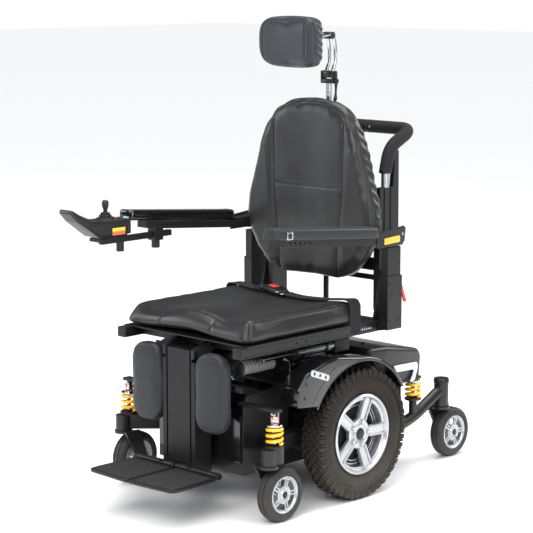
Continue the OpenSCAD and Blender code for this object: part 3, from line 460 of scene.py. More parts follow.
def turnAbout(degrees, axis):
    return Matrix.Rotation(math.radians(degrees), 4, axis)


def arcPoints(centre, radius, start, end, steps):
    turns = [math.radians(start + (end - start) * k / steps) for k in range(steps + 1)]
    return [(centre[0] + radius * math.cos(a), centre[1] + radius * math.sin(a)) for a in turns]


def roundCorners(points, radii, steps=6):
    # fillets the corners of a polygon; radii is one number or one for each corner
    result = []
    count = len(points)
    for index in range(count):
        radius = radii[index] if isinstance(radii, (list, tuple)) else radii
        here = Vector(points[index])
        back = (Vector(points[index - 1]) - here)
        ahead = (Vector(points[(index + 1) % count]) - here)
        half = back.angle(ahead) / 2
        reach = min(radius / math.tan(half), 0.49 * back.length, 0.49 * ahead.length)
        if radius <= 0 or half > math.radians(88):
            result.append(tuple(here))
            continue
        start = here + back.normalized() * reach
        end = here + ahead.normalized() * reach
        for step in range(steps + 1):
            t = step / steps
            result.append(tuple(start * (1 - t) ** 2 + here * 2 * t * (1 - t) + end * t * t))
    return result


def plate(outline, low, high, bevel=0.002, holes=(), facing="x", smooth=3):
    # a flat outline with holes, thickened from low to high with rounded edges
    curve = bpy.data.curves.new("outline", "CURVE")
    curve.dimensions = "2D"
    curve.fill_mode = "BOTH"
    curve.extrude = max((high - low) / 2 - bevel, 0.00001)
    curve.bevel_depth = bevel
    curve.bevel_resolution = smooth
    curve.offset = -bevel
    for points in (outline, *holes):
        spline = curve.splines.new("POLY")
        spline.points.add(len(points) - 1)
        for point, (u, v) in zip(spline.points, points):
            point.co = (u, v, 0, 1)
        spline.use_cyclic_u = True
    holder = bpy.data.objects.new("outline", curve)
    bpy.context.scene.collection.objects.link(holder)
    graph = bpy.context.evaluated_depsgraph_get()
    mesh = bpy.data.meshes.new_from_object(holder.evaluated_get(graph))
    middle = (low + high) / 2
    turn = {
        "x": lambda p: (middle + p.z, p.x, p.y),
        "y": lambda p: (p.x, middle - p.z, p.y),
        "z": lambda p: (p.x, p.y, middle + p.z),
    }[facing]
    shape = [Vector(turn(v.co)) for v in mesh.vertices], [tuple(f.vertices) for f in mesh.polygons]
    bpy.data.objects.remove(holder)
    bpy.data.curves.remove(curve)
    bpy.data.meshes.remove(mesh)
    return shape


def lathe(profile, turns=72, closed=True):
    # turns (radius, along) about the X axis
    count = len(profile)
    points, faces = [], []
    for turn in range(turns):
        angle = 2 * math.pi * turn / turns
        points += [Vector((along, radius * math.cos(angle), radius * math.sin(angle))) for radius,
                   along in profile]
    for turn in range(turns):
        ahead = (turn + 1) % turns
        for k in range(count if closed else count - 1):
            after = (k + 1) % count
            faces.append((turn * count + k, turn * count + after, ahead * count + after, ahead * count + k))
    return points, faces


def smoothLine(points, steps=8, closed=False):
    # a curve through the points
    given = [Vector(p) for p in points]
    count = len(given)
    result = []
    for k in range(count if closed else count - 1):
        a = given[k - 1] if (closed or k > 0) else given[0] * 2 - given[1]
        b, c = given[k], given[(k + 1) % count]
        d = given[(k + 2) % count] if (closed or k + 2 < count) else c * 2 - b
        for step in range(steps):
            t = step / steps
            result.append(0.5 * ((2 * b) + (c - a) * t + (2 * a - 5 * b + 4 * c - d) * t * t
                                 + (3 * b - a - 3 * c + d) * t ** 3))
    if not closed:
        result.append(given[-1])
    return result


def sweep(path, section, closed=False, upward=None):
    # carries a closed section (list of (u, v)) along a path; upward holds v's direction
    path = [Vector(p) for p in path]
    count, ring = len(path), len(section)
    points, faces = [], []
    sideways = None
    for k, place in enumerate(path):
        ahead = path[(k + 1) % count] if (closed or k + 1 < count) else place
        behind = path[k - 1] if (closed or k > 0) else place
        along = (ahead - behind).normalized()
        if upward is not None:
            sideways = along.cross(Vector(upward)).normalized()
        elif sideways is None:
            sideways = along.orthogonal().normalized()
        else:
            sideways = (sideways - along * sideways.dot(along)).normalized()
        up = sideways.cross(along)
        sizes = section[k] if isinstance(section[0], list) else section
        points += [place + sideways * u + up * v for u, v in sizes]
    ring = len(points) // count
    for k in range(count if closed else count - 1):
        after = (k + 1) % count
        for j in range(ring):
            i = (j + 1) % ring
            faces.append((k * ring + j, k * ring + i, after * ring + i, after * ring + j))
    if not closed:
        faces.append(tuple(range(ring)))
        faces.append(tuple(range((count - 1) * ring, count * ring)))
    return points, faces


def ringOf(radius, sides=20, flatten=1.0):
    return [(radius * math.cos(2 * math.pi * k / sides), radius * flatten * math.sin(2 * math.pi * k / sides))
            for k in range(sides)]


def rod(start, end, radius, sides=24, edge=0.0008):
    # a straight round bar with a small chamfer at each end
    start, end = Vector(start), Vector(end)
    along = (end - start).normalized()
    edge = min(edge, radius * 0.4, (end - start).length * 0.3)
    stops = [(start, radius - edge), (start + along * edge, radius), (end - along * edge, radius),
             (end, radius - edge)]
    return sweep([p for p, _ in stops], [ringOf(r, sides) for _, r in stops])


def pill(low, high, radius, steps=3):
    # a box with rounded edges
    low, high = Vector(low), Vector(high)
    size = high - low
    radius = min(radius, 0.49 * min(size))
    draft = bmesh.new()
    bmesh.ops.create_cube(draft, size=1.0)
    for vert in draft.verts:
        vert.co = low + Vector((size[i] * (vert.co[i] + 0.5) for i in range(3)))
    bmesh.ops.bevel(draft, geom=list(draft.edges), offset=radius, segments=steps, profile=0.5, affect="EDGES")
    shape = [v.co.copy() for v in draft.verts], [tuple(v.index for v in f.verts) for f in draft.faces]
    draft.free()
    return shape


def moved(shape, matrix):
    points, faces = shape
    if isinstance(matrix, (tuple, Vector)):
        matrix = Matrix.Translation(Vector(matrix))
    return [matrix @ Vector(p) for p in points], faces


def mirrored(shape):
    points, faces = shape
    return [Vector((-p[0], p[1], p[2])) for p in points], [tuple(reversed(f)) for f in faces]


def spun(shape, angle):
    return moved(shape, Matrix.Rotation(angle, 4, "X"))


def sided(shape, side):
    return shape if side > 0 else mirrored(shape)


def joined(*shapes):
    points, faces = [], []
    for somePoints, someFaces in shapes:
        start = len(points)
        points += [Vector(p) for p in somePoints]
        faces += [tuple(i + start for i in face) for face in someFaces]
    return points, faces


madePieces = []


def makePiece(name, dressed, body, stands=(), sharp=38, ride=True):
    # dressed is a list of (shape, finish); the first finish takes the first material slot
    draft = bmesh.new()
    finishNames = []
    for shape, finish in dressed:
        if finish not in finishNames:
            finishNames.append(finish)
        single = bmesh.new()
        made = [single.verts.new(p) for p in shape[0]]
        for face in shape[1]:
            corners = [made[i] for i in face]
            if len(set(corners)) > 2 and not single.faces.get(corners):
                single.faces.new(corners)
        bmesh.ops.remove_doubles(single, verts=single.verts, dist=0.000002)
        bmesh.ops.dissolve_degenerate(single, edges=single.edges, dist=0.000001)
        bmesh.ops.recalc_face_normals(single, faces=single.faces)
        for face in single.faces:
            face.material_index = finishNames.index(finish)
            face.smooth = True
        mesh = bpy.data.meshes.new(name)
        single.to_mesh(mesh)
        single.free()
        draft.from_mesh(mesh)
        bpy.data.meshes.remove(mesh)
    mesh = bpy.data.meshes.new(name)
    draft.to_mesh(mesh)
    draft.free()
    mesh.set_sharp_from_angle(angle=math.radians(sharp))
    for finish in finishNames:
        mesh.materials.append(materials[finish])
    piece = bpy.data.objects.new(name, mesh)
    bpy.context.scene.collection.objects.link(piece)
    if ride:
        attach(piece, body)
    if stands:
        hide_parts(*stands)
    madePieces.append(piece)
    return piece


def middleOf(node):
    low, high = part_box(node)
    return (low + high) / 2


def sizeOf(node):
    low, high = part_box(node)
    return high - low


# drive wheels

driveTyre = {"tread": 46, "rows": ((0.0, 0), (0.0125, 1), (0.0245, 0)), "blockAlong": 0.0100,
             "blockAcross": 0.0088,
             "lugDepth": 0.0085, "bead": 0.1115, "turns": 120}
driveRim = {"lip": 0.1125, "barrel": 0.098, "spokeFace": 0.020, "spokeDepth": 0.013, "windowInner": 0.042,
            "windowOuter": 0.0945, "hub": 0.0265, "cap": 0.0175, "boltRing": 0.0335, "boltRadius": 0.0052,
            "spokes": 5, "ribs": (0.078, 0.087)}


def treadBlock(angle, across, low, high, along, wide, lean=0.0):
    # one rubber block on the tread, its top a little smaller than its foot
    points = []
    for radius, share in ((low, 1.0), (high, 0.84)):
        for a, b in ((-1, -1), (1, -1), (1, 1), (-1, 1)):
            turn = angle + (a * along * share + lean * b) / 2 / high
            points.append(Vector((across + b * wide * share / 2, radius * math.cos(turn),
                                  radius * math.sin(turn))))
    faces = [(0, 1, 2, 3), (4, 5, 6, 7), (0, 1, 5, 4), (1, 2, 6, 5), (2, 3, 7, 6), (3, 0, 4, 7)]
    return points, faces


def shoulderLug(angle, side, outer, along):
    # a lug that wraps from the tread's edge down the wall
    stations = ((outer, 0.0275), (outer - 0.001, 0.0345), (outer - 0.0085, 0.0366), (outer - 0.019, 0.0372))
    foot = ((outer - 0.0095, 0.0265), (outer - 0.0105, 0.030), (outer - 0.0125, 0.0330),
            (outer - 0.0205, 0.0352))
    points = []
    for a in (-1, 1):
        for row in (stations, foot):
            for radius, across in row:
                turn = angle + a * along / 2 / outer
                points.append(Vector((side * across, radius * math.cos(turn), radius * math.sin(turn))))
    faces = [(0, 1, 2, 3, 7, 6, 5, 4), (8, 9, 10, 11, 15, 14, 13, 12)]
    for k in range(3):
        faces.append((k, k + 1, k + 9, k + 8))
        faces.append((k + 4, k + 5, k + 13, k + 12))
    faces += [(0, 4, 12, 8), (3, 7, 15, 11)]
    return points, faces


def buildDriveTyre(node):
    size = sizeOf(node)
    outer = size.z / 2 - 0.0003
    half = size.x / 2
    bead, crown = driveTyre["bead"], outer - driveTyre["lugDepth"]
    wall = [(bead, half - 0.014), (bead + 0.004, half - 0.0105), (bead + 0.007, half - 0.0085),
            (bead + 0.0085, half - 0.0095),
            (bead + 0.016, half - 0.0045), (bead + 0.030, half - 0.0022), (bead + 0.032, half - 0.0012),
            (bead + 0.034, half - 0.0022), (bead + 0.042, half - 0.0028), (crown - 0.008, half - 0.0048),
            (crown - 0.002, half - 0.010), (crown, half - 0.018), (crown + 0.0008, 0)]
    inner = [(bead, 0.0)]
    profile = wall + [(r, -a) for r, a in reversed(wall[:-1])] + inner
    shapes = [lathe(profile, driveTyre["turns"])]
    step = 2 * math.pi / driveTyre["tread"]
    for index in range(driveTyre["tread"]):
        for across, shift in driveTyre["rows"]:
            for side in ((1, -1) if across else (1,)):
                angle = (index + 0.5 * shift) * step
                shapes.append(treadBlock(angle, side * across, crown - 0.001, outer, driveTyre["blockAlong"],
                                         driveTyre["blockAcross"], 0.004 * side))
        for side in (1, -1):
            shapes.append(shoulderLug((index + 0.5) * step, side, outer - 0.0012,
                                      driveTyre["blockAlong"] * 1.25))
            shapes.append(shoulderLug((index + 0.02) * step, side, outer - 0.0040,
                                      driveTyre["blockAlong"] * 0.62))
    return joined(*shapes)


def wheelWindow(inner, outer, spokeHalf, gap, steps=10):
    # the opening between two straight-sided spokes, about the +Y direction
    edge = math.pi / gap
    points = []
    startAngle = edge - math.asin(min(0.95, spokeHalf / outer))
    for k in range(steps + 1):
        a = -startAngle + 2 * startAngle * k / steps
        points.append((outer * math.cos(a), outer * math.sin(a)))
    lowAngle = max(edge - math.asin(min(0.95, spokeHalf / inner)), 0.03)
    for k in range(4):
        a = lowAngle - 2 * lowAngle * k / 3
        points.append((inner * math.cos(a), inner * math.sin(a)))
    return points


def turned(points, angle):
    c, s = math.cos(angle), math.sin(angle)
    return [(u * c - v * s, u * s + v * c) for u, v in points]


def buildDriveRim():
    r = driveRim
    face, depth = r["spokeFace"], r["spokeDepth"]
    lip = [(r["lip"], 0.0285), (r["lip"] + 0.0012, 0.0305), (r["lip"] - 0.0015, 0.0325),
           (r["lip"] - 0.006, 0.0318),
           (r["windowOuter"] + 0.010, 0.0275), (r["windowOuter"] + 0.0055, 0.0215),
           (r["windowOuter"] + 0.0045, 0.004),
           (r["barrel"] - 0.004, -0.010), (r["barrel"] + 0.004, -0.027), (r["lip"], -0.0305),
           (r["lip"], -0.027), (r["barrel"] + 0.008, -0.022), (r["barrel"] + 0.004, 0.0),
           (r["lip"] - 0.002, 0.022)]
    shapes = [(lathe(lip, 120), "rim_alloy")]
    gap = r["spokes"]
    windows = []
    for k in range(gap):
        opening = roundCorners(wheelWindow(r["windowInner"], r["windowOuter"], 0.0155, gap), 0.004, 3)
        windows.append(turned(opening, 2 * math.pi * k / gap + math.pi / gap))
    disc = arcPoints((0, 0), r["windowOuter"] + 0.008, 0, 360 - 360 / 120, 119)
    centre = arcPoints((0, 0), r["cap"], 0, 350, 35)
    spokes = plate(disc, face - depth, face, 0.0022, holes=windows + [centre])
    dished = [p + Vector((0.006 * (p.yz.length / r["windowOuter"]) ** 2 - 0.003, 0, 0)) for p in spokes[0]]
    shapes.append(((dished, spokes[1]), "rim_alloy"))
    for k in range(gap):
        angle = 2 * math.pi * k / gap
        ridge = []
        for side in (1, -1):
            line = [(face - 0.001 + 0.006 * (d / 0.0945) ** 2, d, side * (0.0112 + 0.0022 * (d / 0.0945)))
                    for d in (0.040, 0.055, 0.075, 0.093, 0.101)]
            ridge.append(sweep(line, [(0.0030 * u, 0.0024 * v) for u, v in ringOf(1.0, 10)],
                               upward=(1, 0, 0)))
        shapes.append((spun(joined(*ridge), angle), "rim_alloy"))
        seat = moved(lathe([(0.0064, face - 0.003), (0.0078, face - 0.003), (0.0078, face + 0.0012),
                            (0.0064, face + 0.0012)], 24), (0, r["boltRing"], 0))
        ringBolt = joined(rod((face - 0.004, r["boltRing"], 0), (face + 0.0030, r["boltRing"], 0),
                              r["boltRadius"], 6, 0.001))
        shapes.append((spun(seat, angle), "rim_alloy"))
        shapes.append((spun(ringBolt, angle), "bolt_zinc"))
    for radius in r["ribs"]:
        shapes.append((lathe([(radius - 0.0014, -0.004), (radius + 0.0014, -0.004), (radius + 0.0014, 0.004),
                              (radius - 0.0014, 0.004)], 96), "rim_alloy"))
    hub = [(r["cap"], face + 0.003), (r["cap"] + 0.005, face + 0.0045), (r["hub"] - 0.001, face + 0.002),
           (r["hub"] + 0.002, face - 0.010), (r["hub"] - 0.002, -0.028), (r["cap"] - 0.003, -0.028),
           (r["cap"] - 0.003, face)]
    shapes.append((lathe(hub, 72), "rim_alloy"))
    backing = [(0.030, -0.006), (0.088, -0.008), (0.088, -0.0105), (0.030, -0.0105)]
    shapes.append((lathe(backing, 72), "motor_casting"))
    cap = [(0.0001, face + 0.0055), (r["cap"] * 0.55, face + 0.0052), (r["cap"] - 0.0015, face + 0.0035),
           (r["cap"] - 0.0002, face + 0.0012), (r["cap"] - 0.0002, face - 0.006), (0.0001, face - 0.006)]
    shapes.append((lathe(cap, 48), "buckle_plastic"))
    return shapes


def seatWheel(dressed, node, side):
    centre = middleOf(node)
    return [(moved(sided(shape, side), centre), finish) for shape, finish in dressed]


driveTyreShape = buildDriveTyre("drive_tyre_left")
driveRimShapes = buildDriveRim()
for sideName, side in sides.items():
    tyreNode, rimNode = "drive_tyre_" + sideName, "drive_rim_" + sideName
    makePiece("driveTyre" + sideName.title(), seatWheel([(driveTyreShape, "drive_tyre")], tyreNode, side),
              "drive_wheel_" + sideName, [tyreNode], sharp=30)
    makePiece("driveRim" + sideName.title(), seatWheel(driveRimShapes, tyreNode, side),
              "drive_wheel_" + sideName, [rimNode])
print("drive wheels built")

# caster wheels

casterWheel = {"turns": 96, "lip": 0.0515, "windowOuter": 0.0425, "windowInner": 0.0235, "face": 0.0155,
               "hub": 0.0165, "bore": 0.0095, "spokes": 5}


def buildCasterTyre(size):
    outer, half, lip = size.z / 2, size.x / 2, casterWheel["lip"]
    crown = [(lip, half - 0.0055), (lip + 0.003, half - 0.0018), (lip + 0.007, half - 0.0008),
             (lip + 0.012, half - 0.0022),
             (outer - 0.0065, half - 0.0045), (outer - 0.0025, half - 0.0085),
             (outer - 0.0006, half - 0.0130)]
    middle = [(outer - 0.0003, 0.0085), (outer - 0.0024, 0.0078), (outer - 0.0024, 0.0058), (outer, 0.0050)]
    profile = crown + middle + [(r, -a) for r, a in reversed(crown + middle)] + [(lip, 0)]
    return lathe(profile, casterWheel["turns"])


def buildCasterRim(size):
    w = casterWheel
    half = size.x / 2
    lip = [(w["lip"] + 0.0005, half - 0.0065), (w["lip"] - 0.0008, half - 0.0045),
           (w["lip"] - 0.004, half - 0.0040),
           (w["windowOuter"] + 0.0025, half - 0.0062), (w["windowOuter"] + 0.001, w["face"] - 0.004),
           (w["windowOuter"], 0.002), (w["windowOuter"] + 0.001, -w["face"] + 0.004),
           (w["windowOuter"] + 0.0025, -half + 0.0062), (w["lip"] - 0.004, -half + 0.0040),
           (w["lip"] - 0.0008, -half + 0.0045), (w["lip"] + 0.0005, -half + 0.0065)]
    shapes = [(lathe(lip, 72), "rim_alloy")]
    count = w["spokes"]
    windows = []
    for k in range(count):
        wide = roundCorners(wheelWindow(w["windowInner"], w["windowOuter"], 0.0066, count, 8), 0.0022, 3)
        windows.append(turned(wide, 2 * math.pi * k / count + math.pi / count))
        slot = roundCorners([(w["windowInner"] + 0.002, -0.0018), (w["windowOuter"] - 0.001, -0.0021),
                             (w["windowOuter"] - 0.001, 0.0021), (w["windowInner"] + 0.002, 0.0018)], 0.0012,
                            3)
        windows.append(turned(slot, 2 * math.pi * k / count))
    disc = arcPoints((0, 0), w["windowOuter"] + 0.004, 0, 355, 71)
    bore = arcPoints((0, 0), w["hub"] - 0.001, 0, 350, 35)
    spokes = plate(disc, w["face"] - 0.006, w["face"], 0.0012, holes=windows + [bore])
    shapes += [(spokes, "rim_alloy"), (mirrored(spokes), "rim_alloy")]
    for sign in (1, -1):
        hub = [(w["bore"], 0.0), (w["bore"], w["face"] + 0.0040), (w["bore"] + 0.003, w["face"] + 0.0050),
               (w["hub"] - 0.002, w["face"] + 0.0042), (w["hub"], w["face"] + 0.002),
               (w["hub"] + 0.0012, w["face"] - 0.004),
               (w["hub"], 0.0)]
        hub = [(r, sign * a) for r, a in hub]
        shapes.append((lathe(hub, 48), "rim_alloy"))
        shapes.append((lathe([(w["windowInner"] - 0.004, sign * (w["face"] - 0.001)),
                              (w["windowInner"] - 0.001, sign * (w["face"] + 0.0015)),
                              (w["windowInner"] + 0.0015, sign * (w["face"] + 0.0008)),
                              (w["windowInner"] + 0.001, sign * (w["face"] - 0.003))],
                             60), "rim_alloy"))
        bearing = [(0.0042, sign * (w["face"] + 0.001)), (w["bore"] + 0.0002, sign * (w["face"] + 0.001)),
                   (w["bore"] + 0.0002, sign * (w["face"] - 0.004)), (0.0042, sign * (w["face"] - 0.004))]
        shapes.append((lathe(bearing, 36), "buckle_plastic"))
        nut = moved(rod((0, 0, 0), (sign * 0.0038, 0, 0), 0.0058, 6, 0.0006),
                    (sign * (w["face"] + 0.0008), 0, 0))
        shapes.append((nut, "buckle_plastic"))
    core = [(w["bore"], -w["face"]), (w["hub"] - 0.001, -w["face"]), (w["hub"] - 0.001, w["face"]),
            (w["bore"], w["face"])]
    shapes.append((lathe(core, 48), "rim_alloy"))
    return shapes


casterSize = sizeOf("front_caster_tyre_left")
casterTyreShape = buildCasterTyre(casterSize)
casterRimShapes = buildCasterRim(casterSize)
for end in ("front", "rear"):
    for sideName, side in sides.items():
        body = end + "_caster_" + sideName
        tyreNode = end + "_caster_tyre_" + sideName
        makePiece(end + "CasterTyre" + sideName.title(), seatWheel([(casterTyreShape, "caster_tyre")],
                                                                   tyreNode, side),
                  body, [tyreNode], sharp=50)
        makePiece(end + "CasterRim" + sideName.title(), seatWheel(casterRimShapes, tyreNode, side),
                  body, [end + "_caster_rim_" + sideName])
print("casters built")

# soft pieces: a slim shell is remeshed, blown up by a cloth run, then sculpted and sewn

softRun = {"voxel": 0.005, "pressure": 4.0, "frames": 20, "mass": 0.3, "stretch": 40.0, "bend": 8.0}


def shellObject(name, shape):
    draft = bmesh.new()
    made = [draft.verts.new(p) for p in shape[0]]
    for face in shape[1]:
        draft.faces.new([made[i] for i in face])
    bmesh.ops.remove_doubles(draft, verts=draft.verts, dist=0.000002)
    bmesh.ops.recalc_face_normals(draft, faces=draft.faces)
    mesh = bpy.data.meshes.new(name)
    draft.to_mesh(mesh)
    draft.free()
    piece = bpy.data.objects.new(name, mesh)
    bpy.context.scene.collection.objects.link(piece)
    return piece


def bakeModifiers(piece):
    graph = bpy.context.evaluated_depsgraph_get()
    fresh = bpy.data.meshes.new_from_object(piece.evaluated_get(graph))
    piece.modifiers.clear()
    old = piece.data
    piece.data = fresh
    bpy.data.meshes.remove(old)


def addModifier(piece, kind, **values):
    modifier = piece.modifiers.new(kind.lower(), kind)
    for key, value in values.items():
        setattr(modifier, key, value)
    return modifier


def puff(piece, limit, low, high, voxel=None, settle=5):
    # the remesh, the cloth run, the cap on how far a point may move, and one subdivision
    # low and high are the corners that the finished pad fills
    addModifier(piece, "REMESH", mode="VOXEL", voxel_size=voxel or softRun["voxel"])
    bakeModifiers(piece)
    start = [v.co.copy() for v in piece.data.vertices]
    cloth = addModifier(piece, "CLOTH")
    cloth.settings.mass = softRun["mass"]
    cloth.settings.tension_stiffness = softRun["stretch"]
    cloth.settings.compression_stiffness = softRun["stretch"]
    cloth.settings.bending_stiffness = softRun["bend"]
    cloth.settings.use_pressure = True
    cloth.settings.uniform_pressure_force = softRun["pressure"]
    cloth.settings.effector_weights.gravity = 0
    cloth.point_cache.frame_start = 1
    cloth.point_cache.frame_end = softRun["frames"]
    for number in range(1, softRun["frames"] + 1):
        bpy.context.scene.frame_set(number)
    bakeModifiers(piece)
    bpy.context.scene.frame_set(1)
    for vert, before in zip(piece.data.vertices, start):
        step = vert.co - before
        if step.length > limit:
            vert.co = before + step * (limit / step.length)
    addModifier(piece, "SMOOTH", factor=0.5, iterations=settle)
    addModifier(piece, "SUBSURF", levels=1, render_levels=1)
    bakeModifiers(piece)
    places = [v.co for v in piece.data.vertices]
    nowLow = Vector([min(p[i] for p in places) for i in range(3)])
    nowHigh = Vector([max(p[i] for p in places) for i in range(3)])
    for vert in piece.data.vertices:
        vert.co = Vector([low[i] + (vert.co[i] - nowLow[i]) * (high[i] - low[i]) / (nowHigh[i] - nowLow[i])
                          for i in range(3)])


def remould(piece, rule):
    # moves each point to where the rule says
    for vert in piece.data.vertices:
        vert.co = rule(vert.co)
    piece.data.update()


def blendStep(value, low, high):
    t = min(1.0, max(0.0, (value - low) / (high - low)))
    return t * t * (3 - 2 * t)


def surfaceOf(piece):
    draft = bmesh.new()
    draft.from_mesh(piece.data)
    tree = BVHTree.FromBMesh(draft)
    draft.free()
    return tree


def laidLine(tree, points, lift=0.0, steps=14, closed=False):
    # puts a line onto the nearest surface
    result = []
    for point in smoothLine(points, steps, closed):
        place, normal, _, _ = tree.find_nearest(point)
        result.append((place + normal * lift, normal))
    return result


def sewSeam(piece, lines, width=0.0035, depth=0.0022):
    # presses each line into the surface as a sewn channel
    count = sum(len(line) for line in lines)
    places = kdtree.KDTree(count)
    index = 0
    for line in lines:
        for place, _ in line:
            places.insert(place, index)
            index += 1
    places.balance()
    normals = [v.normal.copy() for v in piece.data.vertices]
    for vert, normal in zip(piece.data.vertices, normals):
        _, _, gap = places.find(vert.co)
        if gap < width * 3:
            vert.co -= normal * depth * math.exp(-((gap / width) ** 2))
    piece.data.update()


def beadAlong(line, radius, sink=0.3, closed=False):
    # a round welt lying on a seam
    path = [place - normal * radius * sink for place, normal in line]
    return sweep(path, ringOf(radius, 8), closed=closed)


def stitchesAlong(line, spacing=0.0052, length=0.0034, radius=0.00042, offset=0.0):
    # short raised threads beside a seam
    shapes = []
    walked = 0.0
    target = spacing
    for (a, na), (b, nb) in zip(line, line[1:]):
        gap = (b - a).length
        while gap > 0 and walked + gap >= target:
            share = (target - walked) / gap
            place = a.lerp(b, share)
            normal = na.lerp(nb, share).normalized()
            along = (b - a).normalized()
            across = along.cross(normal)
            centre = place + across * offset + normal * radius * 0.25
            section = [ringOf(radius * s, 6) for s in (0.5, 1.0, 1.0, 0.5)]
            path = [centre + along * length * t - normal * radius * d
                    for t, d in ((-0.5, 0.9), (-0.3, 0), (0.3, 0), (0.5, 0.9))]
            shapes.append(sweep(path, section, upward=normal))
            target += spacing
        walked += gap
    return joined(*shapes) if shapes else ([], [])


def finishSoft(piece, finish, body, stands, trims=()):
    # gives the pad its finish, makes a piece of each sewn trim on the same body and hands the whole to the
    # frame; on the seat and the back some trims are dark cords in the seams, which paint the shade there
    mesh = piece.data
    for polygon in mesh.polygons:
        polygon.use_smooth = True
    mesh.materials.clear()
    mesh.materials.append(materials[finish])
    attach(piece, body)
    if stands:
        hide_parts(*stands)
    madePieces.append(piece)
    for index, (shape, trimFinish) in enumerate(trims):
        makePiece("%sSewing%d" % (piece.name, index + 1), [(shape, trimFinish)], body)


# seat cushion

seatPad = {"inset": 0.006, "corner": 0.030, "puff": 0.007, "flare": 0.016, "taper": 0.34, "wellDepth": 0.011,
           "wellX": 0.125, "pommelRise": 0.006, "archRise": 0.013, "nose": 0.105}


def seatOutline(low, high, inset, corner):
    points = [(low.x + inset, low.y + inset), (high.x - inset, low.y + inset),
              (high.x - inset, high.y - inset),
              (low.x + inset, high.y - inset)]
    return roundCorners(points, corner, 8)


def buildSeatCushion():
    s = seatPad
    low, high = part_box("seat_cushion")
    outline = seatOutline(low, high, s["inset"], s["corner"])
    piece = shellObject("seatCushion", plate(outline, low.z + 0.001, high.z - 0.007, 0.007, facing="z"))
    puff(piece, s["puff"], low, high, settle=9)
    halfX, front, back = (high.x - low.x) / 2, low.y, high.y
    tall = high.z - low.z

    def sculpt(p):
        up = (p.z - low.z) / tall
        ahead = 1 - blendStep(p.y, front, front + s["nose"] * 2.4)
        toTop = blendStep(up, 0.45, 0.95)
        # the sides lean in towards the top and flare at the bottom edge
        lean = 1 - s["taper"] * 0.16 * blendStep(up, 0.1, 1.0) * (0.6 + 0.4 * ahead)
        x = p.x * lean
        y = p.y
        nearFront = 1 - blendStep(p.y, front, front + 0.09)
        y += s["flare"] * 1.5 * nearFront * blendStep(up, 0.15, 1.0)
        # two leg wells with a raised middle, fading to the rear
        well = math.exp(-(((abs(x) - s["wellX"]) / 0.062) ** 2))
        pommel = math.exp(-((x / 0.075) ** 2))
        z = p.z + toTop * (0.35 + 0.65 * ahead) * (s["pommelRise"] * pommel - s["wellDepth"] * well)
        seatDip = math.exp(-((x / 0.15) ** 2) - (((p.y - (back - 0.16)) / 0.13) ** 2))
        z -= toTop * 0.009 * seatDip
        # the front lower edge arches up over the legrest
        z += s["archRise"] * (1 - toTop) * nearFront * math.exp(-((x / 0.105) ** 2))
        return Vector((x, y, min(z, high.z + 0.003)))

    remould(piece, sculpt)
    remould(piece, lambda p: p + Vector((0, 0,
                                         0.0012 * noise.noise(p * 17.0) + 0.0016 * noise.noise(p * 7.0))))
    tree = surfaceOf(piece)
    edgeX, topZ = halfX - 0.028, high.z
    scallop = [(-edgeX, front + 0.036, topZ - 0.006), (-0.165, front + 0.030, topZ - 0.010),
               (-0.120, front + 0.030, topZ - 0.013),
               (-0.082, front + 0.035, topZ - 0.008), (-0.045, front + 0.037, topZ - 0.001),
               (0, front + 0.037, topZ + 0.001),
               (0.045, front + 0.037, topZ - 0.001), (0.082, front + 0.035, topZ - 0.008),
               (0.120, front + 0.030, topZ - 0.013),
               (0.165, front + 0.030, topZ - 0.010), (edgeX, front + 0.036, topZ - 0.006)]
    seams = [laidLine(tree, scallop)]
    drops = []
    for side in (-1, 1):
        topEdge = [(side * (halfX - 0.020), front + 0.045, topZ - 0.006),
                   (side * (halfX - 0.018), front + 0.13, topZ - 0.007),
                   (side * (halfX - 0.018), front + 0.25, topZ - 0.007),
                   (side * (halfX - 0.020), back - 0.05, topZ - 0.008)]
        seams.append(laidLine(tree, topEdge))
        corner = [(side * (halfX - 0.026), front + 0.040, topZ - 0.006),
                  (side * (halfX - 0.012), front + 0.024, topZ - 0.030),
                  (side * (halfX - 0.008), front + 0.018, low.z + 0.010)]
        drops.append(laidLine(tree, corner))
        drops.append(laidLine(tree, [(side * 0.088, front + 0.034, topZ - 0.009),
                                     (side * 0.096, front + 0.012, topZ - 0.030),
                                     (side * 0.098, front + 0.004, low.z + 0.014)]))
    rearEdge = [(-halfX + 0.03, back - 0.022, topZ - 0.006), (0, back - 0.018, topZ - 0.004),
                (halfX - 0.03, back - 0.022, topZ - 0.006)]
    seams.append(laidLine(tree, rearEdge))
    sewSeam(piece, seams + drops[:1] + drops[2:3], 0.0030, 0.0026)
    sewSeam(piece, drops[1:2] + drops[3:4], 0.0050, 0.0012)
    tree = surfaceOf(piece)
    laid = [[(tree.find_nearest(p)[0], tree.find_nearest(p)[1]) for p, _ in line]
            for line in seams + drops[:1] + drops[2:3]]
    # the welts are raised beads sunk into the seam grooves; their finish is darker than the leather, which
    # paints the shade in the seams
    welts = joined(*[beadAlong(line, 0.0012, 0.45) for line in laid])
    threads = joined(*[stitchesAlong(line, offset=0.0036) for line in laid])
    finishSoft(piece, "seat_leather", "chassis", ["seat_cushion"],
               [(welts, "buckle_plastic"), (threads, "seat_leather")])


buildSeatCushion()
print("seat cushion sewn")

# back cushion

backPad = {"inset": 0.005, "puff": 0.008, "seamX": 0.133, "seamLow": 0.112, "crossZ": 0.850, "bandGap": 0.026}




def hullOf(points):
    ordered = sorted(set((round(u, 5), round(v, 5)) for u, v in points))
    halves = []
    for sequence in (ordered, ordered[::-1]):
        chain = []
        for p in sequence:
            while len(chain) > 1 and ((chain[-1][0] - chain[-2][0]) * (p[1] - chain[-2][1])
                                      - (chain[-1][1] - chain[-2][1]) * (p[0] - chain[-2][0])) <= 0:
                chain.pop()
            chain.append(p)
        halves.append(chain[:-1])
    return halves[0] + halves[1]


